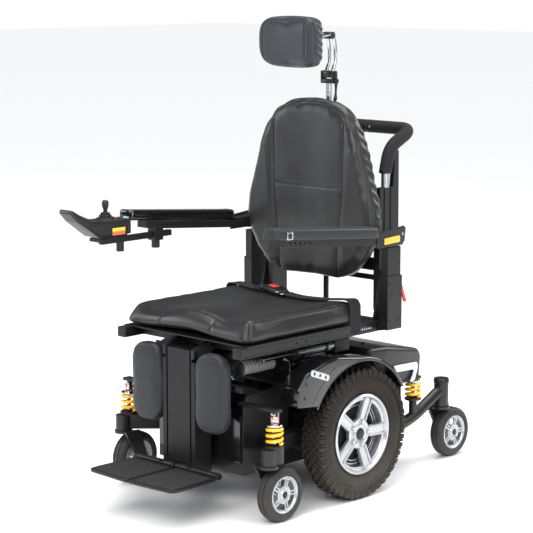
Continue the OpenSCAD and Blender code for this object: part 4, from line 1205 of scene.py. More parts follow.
def evenly(points, count):
    # the same closed outline with evenly spaced points
    loop = [Vector((u, v, 0)) for u, v in points]
    lengths = [(loop[(k + 1) % len(loop)] - loop[k]).length for k in range(len(loop))]
    total, result, k, walked = sum(lengths), [], 0, 0.0
    for n in range(count):
        target = total * n / count
        while walked + lengths[k] < target:
            walked += lengths[k]
            k += 1
        p = loop[k].lerp(loop[(k + 1) % len(loop)], (target - walked) / lengths[k])
        result.append((p.x, p.y))
    return result


def shrunk(points, amount):
    # moves an outline inwards by the same amount everywhere
    count = len(points)
    result = []
    for k in range(count):
        ahead, behind = Vector(points[(k + 1) % count]), Vector(points[k - 1])
        along = (ahead - behind).normalized()
        result.append((points[k][0] - along.y * amount, points[k][1] + along.x * amount))
    return result


def buildBackCushion():
    s = backPad
    low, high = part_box("back_cushion")
    edge = evenly(hullOf([(v.co.x, v.co.z) for v in nodes["back_cushion"].data.vertices]), 120)
    piece = shellObject("backCushion", plate(shrunk(edge, s["inset"]), low.y + 0.008, high.y - 0.002, 0.014,
                                             facing="y"))
    puff(piece, s["puff"], low, high, settle=16)
    deep = high.y - low.y

    def sculpt(p):
        forward = blendStep(p.y, high.y - 0.2 * deep, low.y + 0.25 * deep)
        up = (p.z - low.z) / (high.z - low.z)
        # side bolsters stand forward of the middle panel
        seamX = s["seamLow"] + (s["seamX"] - s["seamLow"]) * min(1.0, up / 0.75)
        outside = blendStep(abs(p.x), seamX - 0.01, seamX + 0.055)
        middle = 1 - blendStep(abs(p.x), 0.0, seamX)
        y = p.y + forward * (0.007 * middle * (1 - 0.3 * up) - 0.0095 * outside * (1 - blendStep(up, 0.80,
                                                                                                 1.0)))
        # lumbar fullness below the cross seam
        fullness = math.exp(-(((p.z - (s["crossZ"] - 0.085)) / 0.075) ** 2)) * math.exp(-((p.x / 0.11) ** 2))
        y -= forward * 0.006 * fullness
        y = max(y, low.y - 0.006)
        return Vector((p.x, y, p.z))

    remould(piece, sculpt)
    # the side gusset is gathered into short slanting folds
    def gather(p):
        inward = blendStep(p.y, low.y + 0.34 * deep, low.y + 0.55 * deep) * (1 - blendStep(p.y,
                                                                                           high.y - 0.012,
                                                                                           high.y))
        sideways = blendStep(abs(p.x), 0.10, 0.20) * blendStep(p.z, low.z + 0.12, low.z + 0.24)
        fold = math.sin((p.z * 1.0 + p.y * 0.55) * 2 * math.pi / 0.031 + 2.2 * noise.noise(p * 21.0))
        return p + Vector((math.copysign(1, p.x) * 0.0022 * inward * sideways * fold, 0,
                           0.0006 * inward * fold))

    remould(piece, gather)
    remould(piece, lambda p: p + Vector((0, 0.0016 * noise.noise(p * 8.0) + 0.0009 * noise.noise(p * 19.0),
                                         0)))
    tree = surfaceOf(piece)
    front = low.y
    seams = []
    for side in (-1, 1):
        line = [(side * (s["seamX"] + 0.002), front, 1.030), (side * s["seamX"], front, 0.96),
                (side * (s["seamX"] - 0.002), front, s["crossZ"]),
                (side * (s["seamX"] - 0.010), front, 0.76), (side * (s["seamLow"] + 0.002), front, 0.67),
                (side * s["seamLow"], front + 0.004, 0.597)]
        seams.append(laidLine(tree, line))
    cross = [(-s["seamX"] + 0.001, front, s["crossZ"]), (0, front, s["crossZ"] + 0.001),
             (s["seamX"] - 0.001, front, s["crossZ"])]
    seams.append(laidLine(tree, cross, steps=24))
    ring = [(u, front + 0.016, v) for u, v in shrunk(edge, s["bandGap"] * 0.62)]
    ringLine = laidLine(tree, ring, steps=2, closed=True)
    rearRing = laidLine(tree, [(u, high.y - 0.010, v) for u, v in shrunk(edge, 0.001)], steps=2, closed=True)
    sewSeam(piece, seams, 0.0050, 0.0048)
    sewSeam(piece, [ringLine, rearRing], 0.0030, 0.0020)
    tree = surfaceOf(piece)
    relaid = [[tree.find_nearest(p)[:2] for p, _ in line] for line in seams]
    relaidRing = [tree.find_nearest(p)[:2] for p, _ in ringLine]
    threads = [stitchesAlong(line, offset=o) for line in relaid[:2]
               for o in (0.0042,)] + [stitchesAlong(relaid[2], offset=-0.0042)]
    welts = [beadAlong(relaidRing, 0.0012, 0.2, closed=True)]
    # dark beads sunk into the side seams and the cross seam, in a darker finish than the leather: painted
    # shade along the seams
    seamShadeCords = joined(*[beadAlong(line, 0.0014, 0.45) for line in relaid])
    finishSoft(piece, "seat_leather", "backrest", ["back_cushion"],
               [(joined(*threads, *welts), "seat_leather"), (seamShadeCords, "buckle_plastic")])


buildBackCushion()
print("back cushion sewn")

# headrest pad

headPad = {"inset": 0.005, "puff": 0.007, "corners": [0.060, 0.036, 0.034, 0.052]}


def buildHeadrestPad():
    s = headPad
    low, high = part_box("headrest_pad")
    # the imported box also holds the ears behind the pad, so the pad's own rear is the wide part's
    wide = [v.co.y for v in nodes["headrest_pad"].data.vertices if abs(v.co.x) > 0.06]
    rear = max(wide)
    corners = [(low.x + s["inset"], low.z + s["inset"]), (high.x - s["inset"], low.z + s["inset"]),
               (high.x - s["inset"], high.z - s["inset"]), (low.x + s["inset"], high.z - s["inset"])]
    outline = roundCorners(corners, s["corners"], 8)
    piece = shellObject("headrestPad", plate(outline, low.y + 0.006, rear - 0.002, 0.020, facing="y"))
    puff(piece, s["puff"], low, Vector((high.x, rear, high.z)), voxel=0.004)
    middle = (low + high) / 2

    def sculpt(p):
        forward = blendStep(p.y, rear - 0.02, low.y + 0.02)
        curve = (p.x / (high.x - low.x) * 2) ** 2
        y = p.y + forward * (0.006 * (1 - curve) - 0.004 * curve)
        z = p.z
        return Vector((p.x, max(y, low.y - 0.004), z))

    remould(piece, sculpt)

    def gather(p):
        inward = blendStep(p.y, low.y + 0.030, low.y + 0.042) * (1 - blendStep(p.y, rear - 0.008, rear))
        around = blendStep(abs(p.x), 0.070, 0.095)
        fold = math.sin((p.z + p.y * 0.5) * 2 * math.pi / 0.020 + 1.8 * noise.noise(p * 30.0))
        return p + Vector((math.copysign(1, p.x) * 0.0015 * inward * around * fold, 0, 0))

    remould(piece, gather)
    remould(piece, lambda p: p + Vector((0, 0.0010 * noise.noise(p * 14.0), 0)))
    tree = surfaceOf(piece)
    edge = shrunk(evenly(outline, 90), 0.006)
    ring = laidLine(tree, [(u, low.y + 0.014, v) for u, v in edge], steps=2, closed=True)
    rearRing = laidLine(tree, [(u, rear - 0.012, v) for u, v in shrunk(edge, -0.006)], steps=2, closed=True)
    seams = [laidLine(tree, [(side * 0.078, low.y, low.z + 0.012), (side * 0.081, low.y, middle.z),
                             (side * 0.078, low.y, high.z - 0.012)])
             for side in (-1, 1)]
    sewSeam(piece, [ring, rearRing], 0.0026, 0.0017)
    sewSeam(piece, seams, 0.0030, 0.0026)
    tree = surfaceOf(piece)
    ringAgain = [tree.find_nearest(p)[:2] for p, _ in ring]
    seamAgain = [[tree.find_nearest(p)[:2] for p, _ in line] for line in seams]
    trim = joined(beadAlong(ringAgain, 0.0011, 0.2, closed=True),
                  *[stitchesAlong(l, offset=0.0034) for l in seamAgain])
    finishSoft(piece, "head_leather", "headrest_pad", ["headrest_pad"], [(trim, "head_leather")])


buildHeadrestPad()
print("headrest pad sewn")

# covers over the base

rowShift = -0.0035  # the frame's origin stands this far behind the drive axle
axleZ = middleOf("drive_tyre_left").z
cover = {"archRadius": 0.204, "archBand": 0.013, "lipRadius": 0.0026, "edge": 0.0055, "hoodEdge": 0.013,
         "plateLong": 0.078, "plateHigh": 0.018, "plateTilt": -20, "plateHole": 0.0046, "platePitch": 0.024}


def fenderOutline(low, high):
    outer, inner = cover["archRadius"] + cover["archBand"], cover["archRadius"]
    foot = low.z
    rearOuter = math.degrees(math.asin((foot - axleZ) / outer))
    rearInner = math.degrees(math.asin((foot - axleZ) / inner))
    wing = [(low.y, foot + 0.010), (low.y + 0.004, foot + 0.060), (low.y + 0.038, foot + 0.098),
            (low.y + 0.113, foot + 0.1185), (low.y + 0.165, high.z)]
    wing = roundCorners([(low.y + 0.13, foot)] + wing + [(rowShift - 0.02, high.z - 0.012)],
                        [0, 0.012, 0.03, 0.04, 0.08, 0.1, 0], 6)
    crown = arcPoints((rowShift, axleZ), outer, 88, rearOuter, 30)
    arch = arcPoints((rowShift, axleZ), inner, rearInner, 180 - rearInner, 56)
    return wing[1:-1] + crown + arch


def buildFender(sideName, side):
    low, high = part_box("fenders")
    inner = high.x - 0.067
    outline = fenderOutline(low, high)
    shell = plate(outline, inner, high.x, cover["edge"], smooth=4)
    lipPath = [(high.x - 0.002, u, v) for u, v in arcPoints((rowShift, axleZ), cover["archRadius"] + 0.004,
                                                            31, 151, 60)]
    lip = sweep(lipPath, ringOf(cover["lipRadius"], 10), upward=(1, 0, 0))
    flute = [(high.x - 0.0012, u, v) for u, v in arcPoints((rowShift, axleZ), cover["archRadius"] + 0.030,
                                                           118, 150, 24)]
    crease = sweep(flute, ringOf(0.0016, 8), upward=(1, 0, 0))
    shapes = [(sided(joined(shell, lip, crease), side), "cover_gloss")]
    tie = joined(pill((0.139, -0.150, 0.389), (inner + 0.004, -0.024, 0.403), 0.004),
                 pill((0.152, -0.140, 0.340), (0.160, -0.034, 0.392), 0.003))
    shapes.append((sided(tie, side), "cover_gloss"))
    bolts = joined(*[rod((high.x - 0.003, y, z), (high.x + 0.0022, y, z), 0.005, 6, 0.001)
                     for y, z in ((-0.238, 0.325), (-0.232, 0.362))])
    shapes.append((sided(bolts, side), "buckle_plastic"))
    makePiece("fender" + sideName.title(), shapes, "chassis", ["fenders"])


def buildMarkerPlate(sideName, side):
    low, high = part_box("fenders")
    face = high.x
    long, tall = cover["plateLong"] / 2, cover["plateHigh"] / 2
    outline = roundCorners([(-long, -tall), (long, -tall), (long, tall), (-long, tall)], tall - 0.0005, 8)
    holes = [arcPoints((k * cover["platePitch"], 0), cover["plateHole"], 0, 340, 17) for k in (-1, 0, 1)]
    body = plate(outline, 0.0004, 0.0034, 0.0009, holes=holes)
    pins = joined(*[rod((0.0, k * cover["platePitch"], 0), (0.0022, k * cover["platePitch"], 0), 0.0044, 20)
                    for k in (-1, 0, 1)])
    place = Matrix.Translation((face, low.y + 0.0870, low.z + 0.089)) @ turnAbout(cover["plateTilt"], "X")
    makePiece("markerPlate" + sideName.title(), [(sided(moved(body, place), side), "rim_alloy"),
                                                 (sided(moved(pins, place), side), "buckle_plastic")],
              "chassis", ["trim_plates"])


def buildHood():
    low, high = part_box("rear_hood")
    profile = [(low.y, low.z), (high.y - 0.008, low.z), (high.y, low.z + 0.076),
               (high.y - 0.016, low.z + 0.096),
               (low.y + 0.080, high.z - 0.004), (low.y, high.z)]
    shell = plate(roundCorners(profile, [0.004, 0.02, 0.03, 0.03, 0.05, 0.012], 7), low.x, high.x,
                  cover["hoodEdge"], smooth=5)
    for p in shell[0]:
        rear = blendStep(p.y, high.y - 0.10, high.y)
        p.x *= 1 - 0.085 * rear
    slots = []
    for k in range(7):
        x = (k - 3) * 0.018
        slots.append(pill((x - 0.0055, high.y - 0.0035, low.z + 0.022),
                          (x + 0.0055, high.y + 0.0015, low.z + 0.050), 0.0014))
    knobs = joined(*[lathe([(0.0001, 0.004), (0.006, 0.0035), (0.0075, 0.001), (0.0075, -0.004),
                            (0.0001, -0.004)], 24)])
    heads = joined(*[moved(moved(knobs, turnAbout(-90, "Y")), (x, y, z))
                     for x, y, z in ((-0.15, low.y + 0.055, high.z - 0.001),
                                     (0.15, low.y + 0.055, high.z - 0.001))])
    makePiece("rearHood", [(shell, "hood_plastic"), (joined(*slots), "buckle_plastic"),
                           (heads, "buckle_plastic")],
              "chassis", ["rear_hood"])
    for sideName, side in sides.items():
        outline = [(low.y + 0.108, low.z + 0.066), (high.y - 0.030, low.z + 0.058),
                   (high.y - 0.026, low.z + 0.042),
                   (high.y - 0.046, low.z + 0.006), (high.y - 0.074, low.z + 0.004),
                   (high.y - 0.052, low.z + 0.026),
                   (high.y - 0.050, low.z + 0.040), (low.y + 0.122, low.z + 0.046)]
        band = plate(roundCorners(outline, [0.004, 0.012, 0.03, 0.012, 0.003, 0.022, 0.007, 0.003], 7),
                     high.x - 0.004, high.x + 0.0028, 0.0012)
        for p in band[0]:
            rear = blendStep(p.y, high.y - 0.10, high.y)
            p.x *= 1 - 0.085 * rear
        makePiece("hoodBand" + sideName.title(), [(sided(band, side), "trim_white")], "chassis")


for sideName, side in sides.items():
    buildFender(sideName, side)
    buildMarkerPlate(sideName, side)
buildHood()
print("covers built")

# springs and shocks

spring = {"turns": 3.1, "wire": 0.0046, "radius": 0.0200, "steps": 26,
          "keep": {"front": 0.55, "rear": 0.47}}


def coilPath(centre, bottom, top, radius, turns, steps):
    total = int(turns * steps)
    path = []
    for k in range(total + 1):
        t = k / total
        angle = 2 * math.pi * turns * t
        rise = min(1.0, max(0.0, (t - 0.10) / 0.80))
        path.append((centre.x + radius * math.cos(angle), centre.y + radius * math.sin(angle),
                     bottom + (top - bottom) * rise))
    return path


def clusters(node, splitY):
    # the four places of a node whose solids stand one at each corner
    found = {}
    for end, forward in (("front", True), ("rear", False)):
        for sideName, side in sides.items():
            points = [v.co for v in nodes[node].data.vertices if v.co.x * side > 0
                      and (v.co.y < splitY) == forward]
            low = Vector([min(p[i] for p in points) for i in range(3)])
            high = Vector([max(p[i] for p in points) for i in range(3)])
            found[(end, sideName)] = (low, high)
    return found


springBoxes = clusters("suspension_springs", 0)
shockBoxes = clusters("shock_bodies", 0)
for (end, sideName), (low, high) in springBoxes.items():
    side = sides[sideName]
    centre = (low + high) / 2
    wire = spring["wire"]
    path = coilPath(centre, low.z + wire + 0.001, high.z - wire - 0.001, spring["radius"], spring["turns"],
                    spring["steps"])
    coil = sweep(path, ringOf(wire, 12))
    piece = makePiece(end + "Spring" + sideName.title(), [(coil, "spring_yellow")], end + "_arm_" + sideName,
                      ["suspension_springs"], ride=False)
    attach(piece, "chassis")
    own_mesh(piece)

for (end, sideName), (low, high) in shockBoxes.items():
    centre = springBoxes[(end, sideName)]
    middle = (centre[0] + centre[1]) / 2
    bottom, top = low.z, high.z
    tall = top - bottom
    def upright(profile, turns=40):
        shape = lathe([(r, z) for r, z in profile], turns)
        return [Vector((middle.x + p.y, middle.y + p.z, p.x)) for p in shape[0]], shape[1]
    barrel = upright([(0.0001, bottom), (0.021, bottom), (0.0225, bottom + 0.0015),
                      (0.0225, bottom + 0.0045), (0.021, bottom + 0.006),
                      (0.0125, bottom + 0.0065), (0.0118, bottom + 0.008), (0.0118, bottom + tall * 0.45),
                      (0.0128, bottom + tall * 0.46),
                      (0.0128, bottom + tall * 0.54), (0.0118, bottom + tall * 0.55),
                      (0.0118, bottom + tall * 0.72),
                      (0.0090, bottom + tall * 0.76), (0.0070, bottom + tall * 0.80), (0.0070, top - 0.003),
                      (0.0001, top - 0.003)])
    eye = moved(lathe([(0.0042, -0.008), (0.0088, -0.008), (0.0092, -0.0065), (0.0092, 0.0065),
                       (0.0088, 0.008), (0.0042, 0.008)], 32),
                (middle.x, middle.y, top - 0.006))
    pin = rod((middle.x - 0.0105, middle.y, top - 0.006), (middle.x + 0.0105, middle.y, top - 0.006), 0.0045,
              20)
    spot = rod((0, 0, 0), (0, 0, 0.0016), 0.0030, 12, 0.0004)
    outwards = Matrix.Translation((0.0112, 0, 0)) @ turnAbout(90, "Y")
    dots = joined(*[moved(spot, Matrix.Translation((middle.x, middle.y, z)) @ turnAbout(a, "Z") @ outwards)
                    for a in (20, -75, 110, 200) for z in (bottom + tall * 0.30, bottom + tall * 0.63)])
    stem = rod((middle.x, middle.y, springBoxes[(end, sideName)][0].z + 0.004),
               (middle.x, middle.y, bottom + 0.002), 0.0062, 24)
    makePiece(end + "Shock" + sideName.title(), [(joined(barrel, eye), "chrome"), (pin, "buckle_plastic"),
                                                 (dots, "button_red")],
                      "chassis", ["shock_bodies"])
    rodPiece = makePiece(end + "ShockRod" + sideName.title(), [(stem, "chrome")], "chassis", ride=False)
    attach(rodPiece, "chassis")
    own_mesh(rodPiece)
print("springs and shocks built")

# armrests

armPad = {"slope": 5.2, "thick": 0.030, "corner": 0.018, "edge": 0.0065}


def buildArmPad(sideName, side):
    low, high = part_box("arm_pad_" + sideName)
    wide, long = high.x - low.x, (high.y - low.y) / math.cos(math.radians(armPad["slope"]))
    outline = roundCorners([(-wide / 2, -long), (wide / 2, -long), (wide / 2, 0), (-wide / 2, 0)],
                           armPad["corner"], 6)
    shell = plate(outline, 0.0, armPad["thick"], armPad["edge"], facing="z", smooth=5)
    points = []
    for p in shell[0]:
        up = p.z / armPad["thick"]
        crown = 0.0018 * (1 - (p.x / (wide / 2)) ** 2) * blendStep(up, 0.5, 1.0)
        arch = 0.0
        if side < 0:
            arch = 0.005 * (1 - up) * math.sin(math.pi * min(1, max(0, -p.y / long)))
        points.append(Vector((p.x * (1 - 0.05 * up), p.y, p.z + crown - 0.001 * up + arch)))
    place = Matrix.Translation(((low.x + high.x) / 2, high.y - 0.0025,
                                low.z + 0.0002)) @ turnAbout(-armPad["slope"], "X")
    shape = moved((points, shell[1]), place)
    line = [(u * 0.985, v + (-0.001 if v > -0.1 else 0.001), armPad["thick"] * 0.36) for u,
            v in evenly(outline, 80)]
    finish = "pad_skin" if side > 0 else "cover_gloss"
    trims = [(moved(sweep(line, ringOf(0.0011, 8), closed=True, upward=(0, 0, 1)), place), finish)]
    name = "armPad" + sideName.title()
    piece = makePiece(name, [(shape, finish)] + trims, "armrest_" + sideName, ["arm_pad_" + sideName])
    shapes = []
    if side > 0:
        # a square latch let into the pad's outer side near the front
        at = place @ Vector((wide / 2 - 0.0035, -long + 0.052, armPad["thick"] * 0.42))
        frameOut = roundCorners([(-0.012, -0.011), (0.012, -0.011), (0.012, 0.011), (-0.012, 0.011)], 0.004,
                                4)
        frameIn = roundCorners([(-0.0075, -0.0065), (0.0075, -0.0065), (0.0075, 0.0065), (-0.0075, 0.0065)],
                               0.002, 4)
        shapes.append((moved(plate(frameOut, 0, 0.006, 0.0014, holes=[frameIn]), at), "chrome"))
        shapes.append((moved(pill((0.001, -0.0085, -0.0075), (0.0045, 0.0085, 0.0075), 0.001), at),
                       "buckle_plastic"))
        makePiece("armLatch" + sideName.title(), shapes, "armrest_" + sideName)


armCheekPart = {"hingeY": 0.180, "hingeZ": 0.716}


def buildArmCheek(sideName, side):
    # the plate over the hinge, with a reflector and a screw
    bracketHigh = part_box("arm_bracket_left")[1]
    x = bracketHigh.x
    pivotY, pivotZ = armCheekPart["hingeY"] + rowShift, armCheekPart["hingeZ"]
    outline = roundCorners([(pivotY - 0.100, pivotZ - 0.021), (pivotY + 0.010, pivotZ - 0.021),
                            (pivotY + 0.020, pivotZ - 0.010),
                            (pivotY + 0.024, pivotZ + 0.026), (pivotY + 0.016, pivotZ + 0.033),
                            (pivotY - 0.100, pivotZ + 0.022)],
                           [0.002, 0.006, 0.006, 0.006, 0.004, 0.002], 5)
    cheek = plate(outline, x - 0.001, x + 0.0030, 0.0013)
    lens = plate(roundCorners([(pivotY - 0.071, pivotZ - 0.0135), (pivotY - 0.004, pivotZ - 0.0105),
                               (pivotY - 0.004, pivotZ + 0.0075),
                               (pivotY - 0.071, pivotZ + 0.0045)], 0.004, 5), x + 0.0026, x + 0.0056, 0.0011)
    screw = rod((x + 0.002, pivotY + 0.010, pivotZ + 0.010), (x + 0.0046, pivotY + 0.010, pivotZ + 0.010),
                0.0042, 20)
    slot = pill((x + 0.0045, pivotY + 0.0072, pivotZ + 0.0094),
                (x + 0.0050, pivotY + 0.0128, pivotZ + 0.0106), 0.0002)
    makePiece("armCheek" + sideName.title(), [(sided(cheek, side), "arm_paint"),
                                              (sided(lens, side), "reflector_amber"),
                                              (sided(screw, side), "brushed_tube"),
                                              (sided(slot, side), "buckle_plastic")],
              "armrest_" + sideName)


for sideName, side in sides.items():
    buildArmPad(sideName, side)
    buildArmCheek(sideName, side)
print("armrests built")

# seat belt and buckle

belt = {"wide": 0.038, "thick": 0.0022, "ribs": 6}


def strap(path, facing, wide=None):
    # flat webbing with woven ribs; facing is the outward direction at each point
    half = (wide or belt["wide"]) / 2
    count = belt["ribs"] * 6
    upper = []
    for k in range(count + 1):
        t = k / count
        upper.append((-half + 2 * half * t,
                      belt["thick"] / 2 + 0.00035 * math.sin(t * belt["ribs"] * 2 * math.pi)))
    lower = [(u, -v) for u, v in reversed(upper)]
    section = upper + lower
    points, faces = [], []
    ring = len(section)
    path = [Vector(p) for p in path]
    for k, place in enumerate(path):
        ahead, behind = path[min(k + 1, len(path) - 1)], path[max(k - 1, 0)]
        along = (ahead - behind).normalized()
        up = Vector(facing[k] if isinstance(facing, list) else facing)
        up = (up - along * up.dot(along)).normalized()
        across = along.cross(up)
        points += [place + across * u + up * v for u, v in section]
    for k in range(len(path) - 1):
        for j in range(ring):
            i = (j + 1) % ring
            faces.append((k * ring + j, k * ring + i, (k + 1) * ring + i, (k + 1) * ring + j))
    faces.append(tuple(range(ring)))
    faces.append(tuple(range((len(path) - 1) * ring, len(path) * ring)))
    return points, faces


def strapOver(points, steps=8):
    path = smoothLine(points, steps)
    facing = []
    for k in range(len(path)):
        ahead, behind = path[min(k + 1, len(path) - 1)], path[max(k - 1, 0)]
        along = (ahead - behind).normalized()
        width = Vector((0.22, 1, 0))
        facing.append(width.cross(along))
    return strap(path, facing)


def buildBelt():
    low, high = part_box("seat_belt")
    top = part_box("seat_cushion")[1].z + 0.0030
    outer = high.x - 0.0012
    y = (low.y + high.y) / 2
    right = [(-outer, y, low.z + 0.004), (-outer, y, top - 0.026), (-outer + 0.004, y, top - 0.008),
             (-outer + 0.018, y, top),
             (-0.170, y - 0.008, top - 0.0012), (-0.105, y - 0.020, top - 0.0022),
             (-0.058, y - 0.030, top - 0.0010)]
    left = [(0.036, y - 0.052, top + 0.003), (0.080, y - 0.046, top - 0.001), (0.140, y - 0.026, top - 0.002),
            (outer - 0.050, y - 0.006, top + 0.0006), (outer - 0.016, y, top + 0.0020),
            (outer - 0.002, y, top - 0.010),
            (outer, y, top - 0.030), (outer, y, low.z + 0.004)]
    shapes = [(strapOver(right), "webbing"), (strapOver(left), "webbing")]
    adjust = Matrix.Translation((-0.092, y - 0.0225, top + 0.0022)) @ turnAbout(-12, "Z")
    bar = joined(pill((-0.016, -0.022, -0.0030), (-0.009, 0.022, 0.0030), 0.0018),
                 pill((0.009, -0.022, -0.0030), (0.016, 0.022, 0.0030), 0.0018),
                 pill((-0.016, -0.0225, -0.0030), (0.016, -0.0195, 0.0030), 0.0014),
                 pill((-0.016, 0.0195, -0.0030), (0.016, 0.0225, 0.0030), 0.0014),
                 pill((-0.002, -0.021, 0.0005), (0.003, 0.021, 0.0040), 0.0012))
    loop = strap([(-0.014, 0, 0.0045), (0.0, 0, 0.0062), (0.030, 0, 0.0030)], (0, 0, 1))
    shapes += [(moved(bar, adjust), "buckle_plastic"), (moved(loop, adjust), "webbing")]
    piece = makePiece("seatBelt", shapes, "chassis", ["seat_belt"])
    place = Matrix.Translation((-0.020, y - 0.042, top + 0.0075)) @ turnAbout(-14, "Z") @ turnAbout(4, "Y")
    body = pill((-0.040, -0.0225, -0.0080), (0.028, 0.0225, 0.0075), 0.0045, 4)
    rim = pill((-0.031, -0.0145, 0.0050), (0.006, 0.0145, 0.0086), 0.0015)
    button = pill((-0.028, -0.0115, 0.0060), (0.003, 0.0115, 0.0102), 0.0022)
    tongue = pill((0.026, -0.0205, -0.0024), (0.058, 0.0205, 0.0006), 0.0010)
    slotBar = pill((0.050, -0.0215, -0.0030), (0.0585, 0.0215, 0.0022), 0.0018)
    edge = pill((0.0275, -0.0225, -0.0035), (0.031, 0.0225, 0.0030), 0.0010)
    makePiece("beltBuckle", [(moved(joined(body, rim), place), "buckle_plastic"),
                             (moved(button, place), "button_red"),
                             (moved(joined(tongue), place), "buckle_plastic"),
                             (moved(joined(slotBar, edge), place), "chrome")],
              "chassis", ["belt_buckle"])


buildBelt()
print("belt and buckle built")

# joystick

hand = {"edge": 0.007, "bellows": 3}


def buildJoystick():
    low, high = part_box("joystick_housing")
    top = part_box("joystick_button")[1].z - 0.002
    back, nose = high.y, low.y
    bottom = low.z
    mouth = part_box("joystick_lever")
    stickX = (mouth[0].x + mouth[1].x) / 2
    stickY = (mouth[0].y + mouth[1].y) / 2
    outline = roundCorners([(back, bottom + 0.003), (back, top), (nose + 0.116, top + 0.001),
                            (nose + 0.070, top + 0.007),
                            (nose + 0.032, top + 0.024), (nose + 0.005, high.z), (nose, high.z - 0.011),
                            (nose + 0.024, top + 0.004), (nose + 0.060, top - 0.020),
                            (nose + 0.098, bottom + 0.004)],
                           [0.008, 0.007, 0.03, 0.04, 0.04, 0.005, 0.005, 0.04, 0.06, 0.02], 7)
    shell = plate(outline, low.x, high.x, hand["edge"], smooth=5)
    points = []
    for p in shell[0]:
        ahead = 1 - blendStep(p.y, nose, nose + 0.12)
        mid = (low.x + high.x) / 2
        points.append(Vector((mid + (p.x - mid) * (1 - 0.16 * ahead + 0.10 * math.sin(math.pi * ahead)), p.y,
                              p.z)))
    shapes = [((points, shell[1]), "joystick_plastic")]
    ringBase = moved(lathe([(0.0240, 0.0), (0.0275, 0.0), (0.0275, 0.0020), (0.0262, 0.0034),
                            (0.0240, 0.0036)], 56),
                     Matrix.Translation((stickX, stickY, top - 0.0006)) @ turnAbout(-90, "Y"))
    shapes.append((ringBase, "joystick_plastic"))
    side = high.x
    labelLow, labelHigh = bottom + 0.010, bottom + 0.028
    shapes.append((plate(roundCorners([(back - 0.062, labelLow + 0.0085), (back - 0.014, labelLow + 0.0085),
                                       (back - 0.014, labelHigh),
                                       (back - 0.062, labelHigh)], 0.0012, 3), side - 0.001, side + 0.0006,
                         0.0002), "label_yellow"))
    shapes.append((plate(roundCorners([(back - 0.062, labelLow - 0.002), (back - 0.014, labelLow - 0.002),
                                       (back - 0.014, labelLow + 0.008),
                                       (back - 0.062, labelLow + 0.008)], 0.0012, 3), side - 0.001,
                         side + 0.0006, 0.0002), "label_red"))
    keys = []
    for k in range(3):
        keys.append(pill((stickX - 0.020 + k * 0.0145, back - 0.045, top - 0.001),
                         (stickX - 0.009 + k * 0.0145, back - 0.037, top + 0.0016), 0.0009))
    shapes.append((joined(*keys), "buckle_plastic"))
    lamp = pill((stickX - 0.012, nose + 0.088, top - 0.0005), (stickX + 0.012, nose + 0.094, top + 0.0022),
                0.0009)
    shapes.append((lamp, "cyan_lens"))
    box = joined(pill((stickX - 0.030, back - 0.001, bottom + 0.006),
                      (stickX + 0.028, back + 0.014, top - 0.002), 0.004),
                 pill((stickX - 0.010, back + 0.008, bottom + 0.012),
                      (stickX + 0.014, back + 0.024, bottom + 0.030), 0.004))
    shapes.append((box, "joystick_plastic"))
    shapes.append((pill((stickX + 0.004, back + 0.004, top - 0.0045),
                        (stickX + 0.020, back + 0.012, top + 0.0015), 0.0015), "cyan_lens"))
    makePiece("joystickHousing", shapes, "joystick", ["joystick_housing"])

    base = top + 0.0026
    tiers = []
    for tier in range(hand["bellows"]):
        outer = 0.0222 - 0.0040 * tier
        z = base + 0.0058 * tier
        tiers.append([(0.0001, z), (outer - 0.0016, z), (outer, z + 0.0010), (outer - 0.0008, z + 0.0032),
                      (outer - 0.0056, z + 0.0050)])
    tiers[0].append((0.0001, base + 0.0050))
    tiers[1].append((0.0001, base + 0.0108))
    tiers[2] += [(0.0060, base + 0.0182), (0.0050, base + 0.0212), (0.0001, base + 0.0212)]
    knobLow = base + 0.0192
    knobHigh = mouth[1].z + 0.001
    tall = knobHigh - knobLow
    knob = [(0.0001, knobLow), (0.0052, knobLow + 0.0004), (0.0060, knobLow + tall * 0.12),
            (0.0066, knobLow + tall * 0.22),
            (0.0082, knobLow + tall * 0.34), (0.0094, knobLow + tall * 0.52),
            (0.0096, knobLow + tall * 0.68), (0.0090, knobLow + tall * 0.86),
            (0.0060, knobLow + tall * 0.97), (0.0001, knobHigh)]

    def upright(profile, turns=48):
        shape = lathe(profile, turns, closed=False)
        return [Vector((stickX + p.y, stickY + p.z, p.x)) for p in shape[0]], shape[1]

    makePiece("joystickKnob", [(upright(knob), "joystick_plastic")], "joystick_lever", ["joystick_lever"],
              sharp=70)
    # the boot's foot stays on the housing and its neck leans with the lever; its waist is hung on no body
    makePiece("joystickBootFoot", [(upright(tiers[0]), "boot_rubber")], "joystick", sharp=70)
    waist = makePiece("joystickBootWaist", [(upright(tiers[1]), "boot_rubber")], "joystick", ride=False,
                      sharp=70)
    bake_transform(waist)
    makePiece("joystickBootNeck", [(upright(tiers[2]), "boot_rubber")], "joystick_lever", sharp=70)
    buttonLow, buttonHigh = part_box("joystick_button")
    middle = (buttonLow + buttonHigh) / 2
    cap = lathe([(0.0001, buttonHigh.z), (0.0045, buttonHigh.z - 0.0002), (0.0056, buttonHigh.z - 0.0012),
                 (0.0058, buttonHigh.z - 0.003),
                 (0.0058, buttonLow.z), (0.0001, buttonLow.z)], 36)
    cap = [Vector((middle.x + p.y, middle.y + p.z, p.x)) for p in cap[0]], cap[1]
    makePiece("joystickButton", [(cap, "button_red")], "joystick_button", ["joystick_button"], sharp=50)


buildJoystick()
print("joystick built")

# legrest

legPart = {"calfPuff": 0.006}


